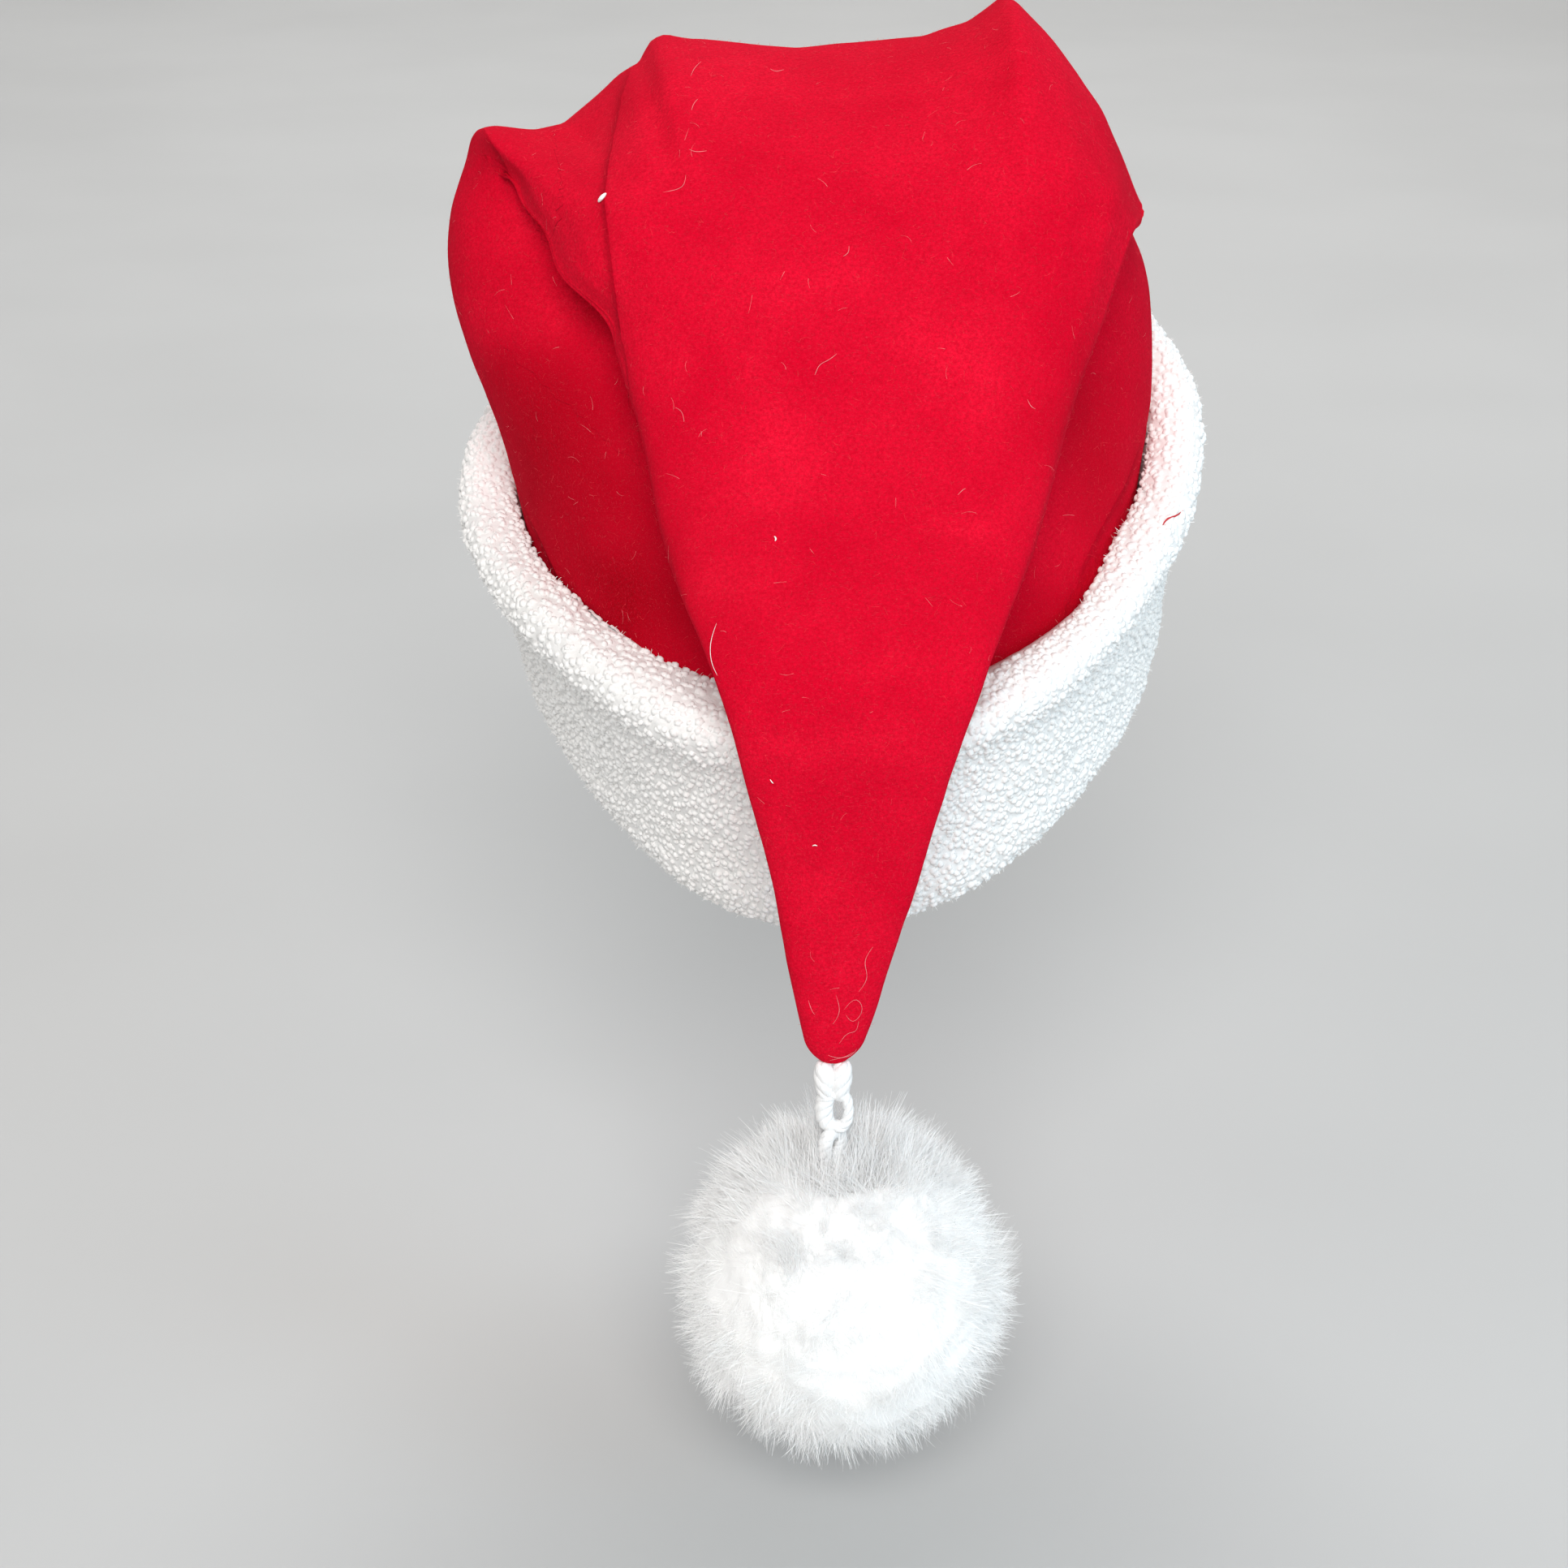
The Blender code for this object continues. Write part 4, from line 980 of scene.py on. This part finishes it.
def build_pompom():
    """The fur ball: a rough round core and two coats of fine hair over it.

    The core is a sphere whose radius changes by 1.2 mm noise(3 mm) and dips by 5 mm round the tie.
    """
    centre = pompom_centre()
    rows, around = 90, 150
    tilt = np.linspace(0.004, math.pi - 0.004, rows)[:, None]
    turn = np.linspace(0, 2 * math.pi, around, endpoint=False)[None, :]
    flat, up = np.sin(tilt), np.cos(tilt) * np.ones_like(turn)
    sphere = np.stack([flat * np.cos(turn), flat * np.sin(turn), up], axis=-1)
    radius = POMPOM_CORE / 2 + 0.0012 * smooth_noise(sphere * 0.038, 0.003, 71) - 0.0014
    radius = radius + 0.0050 * np.clip((0.96 - sphere[..., 2]) / 0.05, 0, 1)
    points = centre + sphere * radius[..., None]
    inner = fur_material("white_fur_roots", (0.94, 0.937, 0.93, 1), (0.97, 0.97, 0.965, 1))
    shade = 0.5 + 0.5 * smooth_noise(sphere * 0.038, 0.0015, 72)
    faces = grid_faces(rows, around, flip=True)
    core = add_mesh("pompom_core", points, faces, inner, {"along": shade, "shade": shade})
    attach(core, "root")
    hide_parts("fur_pompom")
    outer = fur_material("white_fur_strands", (0.955, 0.952, 0.945, 1), (0.98, 0.98, 0.978, 1))
    fur_coat("pompom_fur", 101, POMPOM_DIAMETER / 2 * 1.01, 0.060, 0.0010, outer)
    fur_coat("pompom_underfur", 102, POMPOM_DIAMETER / 2 * 0.95, 0.10, 0.0009, outer)


def plied(line, radius, plies, turns, sides=8, phase=0.0):
    """Yarn of plies wound round each other: each is 0.64 of the radius thick and runs at 0.40 of it."""
    line = np.asarray(line, float)
    count = len(line)
    radius = np.broadcast_to(radius, (count,))
    ahead = unit(np.gradient(line, axis=0))
    across = unit(np.cross(ahead, np.array([0.15, 1.0, 0.1])))
    third = np.cross(ahead, across)
    share = np.linspace(0, 1, count)
    parts = []
    for ply in range(plies):
        angle = phase + 2 * math.pi * (turns * share + ply / plies)
        offset = (np.cos(angle)[:, None] * across + np.sin(angle)[:, None] * third) * (radius * 0.40)[:, None]
        parts.append(tube(line + offset, radius * 0.64, sides))
    return parts


def build_tie():
    """The crocheted tie: two fat lobes of plied yarn under the tip, then two open oval stitches.

    A lobe is a straight yarn that swells by (1 - t^2)^0.35 (1.03 + 0.14 t), with t from -1 to 1 up it. A
    stitch runs round the oval |sin a|^0.7 across and cos a along.
    """
    top = tie_top()
    parts = []
    t = np.linspace(-1, 1, 40)
    for side in (-1, 1):
        lean = side * KNOT_SPREAD * 0.42
        swell = np.sqrt(np.clip(1 - t**2, 0.0, 1.0)) ** 0.7 * (1.03 + 0.14 * t)
        along = t * KNOT_HEIGHT / 2 * 0.96
        middle = top + np.array([side * (STITCH_WIDTH - KNOT_LOBE_WIDTH) * 0.42, 0.0, -KNOT_HEIGHT / 2])
        line = middle + np.stack([math.sin(lean) * along, 0 * along, math.cos(lean) * along], axis=-1)
        parts += plied(line, KNOT_LOBE_WIDTH / 2 * (0.10 + 0.88 * swell), 4, side * 0.8, 10, 0.4)
    chain_top = top[2] - KNOT_HEIGHT + STITCH_BITE
    angle = np.linspace(0, 2 * math.pi, 90)
    half_length, half_width = (STITCH_LENGTH - YARN) / 2, (STITCH_WIDTH - YARN) / 2
    for k in range(STITCH_COUNT):
        lopsided = 1 - k
        centre = np.array([top[0], top[1], chain_top - STITCH_LENGTH / 2 - k * (STITCH_LENGTH - STITCH_BITE)])
        centre += lopsided * np.array([0.0009, 0.0, 0.0011])
        turn = math.radians(-8 if k % 2 == 0 else 50)
        flat = np.sign(np.sin(angle)) * np.abs(np.sin(angle)) ** 0.7 * half_width
        long = np.cos(angle) * (half_length + lopsided * 0.0012)
        line = centre + np.stack([flat * math.cos(turn), flat * math.sin(turn), long], axis=-1)
        parts += plied(line, YARN / 2 * 0.97 * (1 - 0.28 * lopsided * np.sin(angle)), 3, 4, 8)
    points, faces = joined(parts)
    tie = add_mesh("yarn_tie", points, faces, yarn_material())
    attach(tie, "root")
    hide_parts("crochet_tie")


def build_fuzz(dented, normal):
    """Short red hairs of the felt's nap and fine pale lint that lies on it.

    A hair stands on a point of the felt chosen by its share of the area, and its head lies sideways by its
    length and off the felt by rise times its length.
    """
    chance = np.random.default_rng(23)
    size = np.linalg.norm(np.roll(dented, -1, axis=1) - dented, axis=2)
    size = size * np.linalg.norm(np.gradient(dented, axis=0), axis=2)
    size[:HEM_ROWS] = 0.0
    weight = size.ravel() / size.sum()
    flat, out_all = dented.reshape(-1, 3), normal.reshape(-1, 3)
    red = plain_fibre_material("red_felt_hairs", (0.60, 0.004, 0.020, 1), (0.88, 0.05, 0.07, 1))
    pale = plain_fibre_material("pale_lint", (0.80, 0.07, 0.10, 1), (0.88, 0.30, 0.32, 1))
    for name, count, low, high, rise, wide, material, segments in (
        ("felt_nap_hairs", FELT_FUZZ, 0.0008, 0.0026, 0.42, 0.00006, red, 2),
        ("felt_lint", FELT_LINT, 0.0016, 0.0056, 0.10, 0.00007, pale, 4),
    ):
        chosen = chance.choice(weight.size, count, p=weight)
        out = out_all[chosen]
        sideways = unit(np.cross(out, chance.normal(size=(count, 3))))
        length = chance.uniform(low, high, (count, 1)) * chance.uniform(0.5, 1, (count, 1))
        roots = flat[chosen] + out * 0.00002
        heads = roots + sideways * length + out * np.minimum(length * rise, 0.0009)
        bends = np.cross(out, sideways) * length * chance.uniform(-0.35, 0.35, (count, 1)) + out * 0.00015
        across = unit(np.cross(heads - roots, out))
        points, faces, _ = ribbons(roots, heads, bends, across, np.full(count, wide), segments, 0.5)
        coat = add_mesh(name, points, faces, material)
        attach(coat, "root")


def on_surface(tree, px, py):
    """The point that the view shows at a pixel, and the surface's direction there."""
    down = math.radians(CAMERA_DOWN)
    across, rise = (px - FRAME_PIXELS / 2) / FOCAL_PIXELS, (FRAME_PIXELS / 2 - py) / FOCAL_PIXELS
    ray = Vector((across, math.cos(down) + rise * math.sin(down), -math.sin(down) + rise * math.cos(down)))
    place, facing, _, _ = tree.ray_cast(Vector(CAMERA_AT), ray.normalized())
    if facing is not None and facing.dot(ray) > 0:
        facing = -facing
    return place, facing


# Single fibres that lie on the hat, in pixels of the view, with radius and how high their middle stands off
LOOSE_FIBRES = (
    ("pale", ((739, 250), (743, 245), (748, 240)), 0.00056, 0.0006),
    ("red", ((1432, 648), (1438, 640), (1448, 636), (1457, 629)), 0.00028, 0.0006),
    ("pale", ((883, 768), (876, 792), (877, 815), (884, 832)), 0.00008, 0.0003),
    ("pale", ((1236, 834), (1241, 828), (1246, 822)), 0.00018, 0.0006),
    ("faint", ((968, 1299), (980, 1297), (992, 1300), (1010, 1292)), 0.00007, 0.0004),
    ("faint", ((1006, 1304), (1020, 1300), (1036, 1303), (1052, 1296)), 0.00006, 0.0003),
    ("faint", ((1016, 1308), (1034, 1304), (1048, 1300), (1056, 1292)), 0.00005, 0.0003),
    ("faint", ((1076, 1166), (1066, 1185), (1068, 1204), (1058, 1222)), 0.00006, 0.0003),
    ("faint", ((1040, 1244), (1054, 1232), (1062, 1244), (1052, 1258), (1042, 1250)), 0.00005, 0.0003),
    ("faint", ((1034, 1286), (1044, 1274), (1054, 1270), (1058, 1258)), 0.00005, 0.0003),
    ("faint", ((1030, 1226), (1034, 1246), (1026, 1262)), 0.00005, 0.0003),
    ("faint", ((996, 1232), (1000, 1244), (1004, 1250)), 0.00006, 0.0003),
    ("faint", ((849, 184), (858, 187), (871, 186)), 0.00007, 0.0003),
    ("faint", ((817, 237), (832, 234), (842, 228), (845, 216)), 0.00006, 0.0003),
    ("faint", ((1039, 316), (1045, 311), (1046, 303)), 0.00007, 0.0003),
    ("faint", ((1004, 462), (1010, 450), (1020, 444), (1031, 436)), 0.00007, 0.0003),
    ("faint", ((949, 85), (956, 88), (966, 86)), 0.00007, 0.0003),
    ("faint", ((851, 94), (856, 84), (864, 76)), 0.00006, 0.0003),
    ("faint", ((852, 136), (855, 128), (860, 122)), 0.00007, 0.0003),
    ("faint", ((832, 502), (840, 508), (843, 520)), 0.00006, 0.0003),
    ("faint", ((1266, 492), (1270, 500), (1276, 504)), 0.00006, 0.0003),
    ("faint", ((1180, 610), (1186, 604), (1190, 602)), 0.00007, 0.0003),
    ("pale", ((954, 661), (956, 664), (955, 667)), 0.00022, 0.0002),
    ("pale", ((949, 960), (951, 963), (953, 965)), 0.00014, 0.0002),
    ("pale", ((1001, 1042), (1004, 1041), (1007, 1042)), 0.00016, 0.0002),
)


def build_loose_fibres(solids):
    """Each fibre is a thin tube on a smooth line through the points of the surface that the view shows."""
    trees = []
    for thing in solids:
        mesh = thing.data
        points = np.empty(len(mesh.vertices) * 3)
        mesh.vertices.foreach_get("co", points)
        corners = np.empty(len(mesh.loops), np.int32)
        mesh.loops.foreach_get("vertex_index", corners)
        trees.append(BVHTree.FromPolygons(points.reshape(-1, 3).tolist(), corners.reshape(-1, 4).tolist()))
    materials = {
        "pale": plain_fibre_material("pale_fibre", (0.86, 0.82, 0.80, 1), (0.95, 0.94, 0.93, 1)),
        "faint": plain_fibre_material("faint_fibre", (0.84, 0.19, 0.23, 1), (0.89, 0.34, 0.36, 1)),
        "red": plain_fibre_material("red_thread_fibre", (0.42, 0.01, 0.02, 1), (0.60, 0.02, 0.03, 1)),
    }
    parts = {colour: [] for colour in materials}
    for colour, pixels, radius, stand in LOOSE_FIBRES:
        line = []
        for px, py in pixels:
            hits = [on_surface(tree, px, py) for tree in trees]
            hits = [hit for hit in hits if hit[0] is not None]
            if hits:
                place, facing = min(hits, key=lambda hit: (hit[0] - Vector(CAMERA_AT)).length)
                line.append(np.array(place + facing * radius))
        if len(line) < 3:
            continue
        line = np.array(line)
        at = np.linspace(0, len(line) - 1, 8 * len(line))
        fine = natural_spline(np.arange(len(line), dtype=float), line, at)
        share = np.linspace(0, 1, len(fine))
        toward = unit(np.array(CAMERA_AT) - fine)
        fine = fine + toward * (stand * np.sin(math.pi * share))[:, None]
        parts[colour].append(tube(fine, radius * (0.25 + 0.75 * np.sin(math.pi * share) ** 0.5), 6))
    for colour, tubes in parts.items():
        points, faces = joined(tubes)
        fibres = add_mesh(f"loose_fibres_{colour}", points, faces, materials[colour])
        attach(fibres, "root")


# Camera, floor and light

def add_camera():
    """A camera at the height and angle from which the hat is seen, with no shift."""
    camera = bpy.data.objects.new("view_camera", bpy.data.cameras.new("view_camera"))
    camera.location = CAMERA_AT
    camera.rotation_euler = (math.radians(90 - CAMERA_DOWN), 0, 0)
    camera.data.sensor_width = 36.0
    camera.data.lens = 36.0 * FOCAL_PIXELS / FRAME_PIXELS
    camera.data.clip_end = 40.0
    bpy.context.scene.collection.objects.link(camera)
    bpy.context.scene.camera = camera


def add_floor():
    """A pale floor that curves up far behind the hat."""
    half, reach, bend = 4.0, 2.6, 1.2
    turn = np.linspace(0, math.pi / 2, 24)
    y = np.concatenate([[-half], [reach], reach + bend * np.sin(turn[1:]), [reach + bend]])
    z = np.concatenate([[0.0], [0.0], bend * (1 - np.cos(turn[1:])), [4.0]])
    x = np.array([-half - 2, half + 2])
    points = np.stack([np.tile(x, len(y)), np.repeat(y, 2), np.repeat(z + FLOOR_Z, 2)], axis=-1)
    low = (np.arange(len(y) - 1) * 2)[:, None]
    n = Nodes("pale_floor")
    colour = n.mottle((0.52, 0.52, 0.516, 1), (0.55, 0.55, 0.546, 1), 3, 0.3, 0.7)
    pale = n.finish(colour, n.spread(n.noise(20, 2), 0.3, 0.7, 0.75, 0.85), specular=0.2)
    floor = add_mesh("floor", points, low + np.array([[0, 1, 3, 2]]), pale)


def add_light(name, at, aim, size, power, colour):
    """A round soft lamp at a place, turned to its aim, with its width in metres and its power in watts."""
    light = bpy.data.lights.new(name, "AREA")
    light.shape = "DISK"
    light.size = size
    light.energy = power
    light.color = colour
    lamp = bpy.data.objects.new(name, light)
    lamp.location = at
    lamp.rotation_euler = (Vector(aim) - Vector(at)).to_track_quat("-Z", "Y").to_euler()
    bpy.context.scene.collection.objects.link(lamp)


def add_lights():
    """A large soft key from the front, a weak cool fill from the right, a weak one behind, and a wash."""
    aim = (0.0, -0.06, 0.05)
    add_light("key", (-0.02, -2.55, 1.78), aim, 1.7, 79.0, (1.0, 0.99, 0.98))
    add_light("fill", (1.45, -1.1, 0.50), aim, 1.0, 9.0, (0.45, 0.78, 1.0))
    add_light("back", (0.1, 1.3, 1.5), aim, 1.2, 6.0, (0.97, 0.98, 1.0))
    add_light("wash", (0.0, 2.2, 2.8), (0.0, 2.5, -0.2), 2.2, 55.0, (1.0, 1.0, 1.0))
    world = bpy.data.worlds.new("soft_world")
    bpy.context.scene.world = world
    world.use_nodes = True
    world.node_tree.nodes["Background"].inputs["Color"].default_value = (1.0, 0.985, 0.96, 1)
    world.node_tree.nodes["Background"].inputs["Strength"].default_value = 0.35


bpy.context.scene.view_settings.view_transform = "Standard"
add_camera()
add_floor()
add_lights()
crown, dented_rows, felt_normals = build_crown()
build_cuff()
build_pompom()
build_tie()
build_fuzz(dented_rows, felt_normals)
build_loose_fibres([crown, bpy.data.objects["fleece_cuff_pile"]])
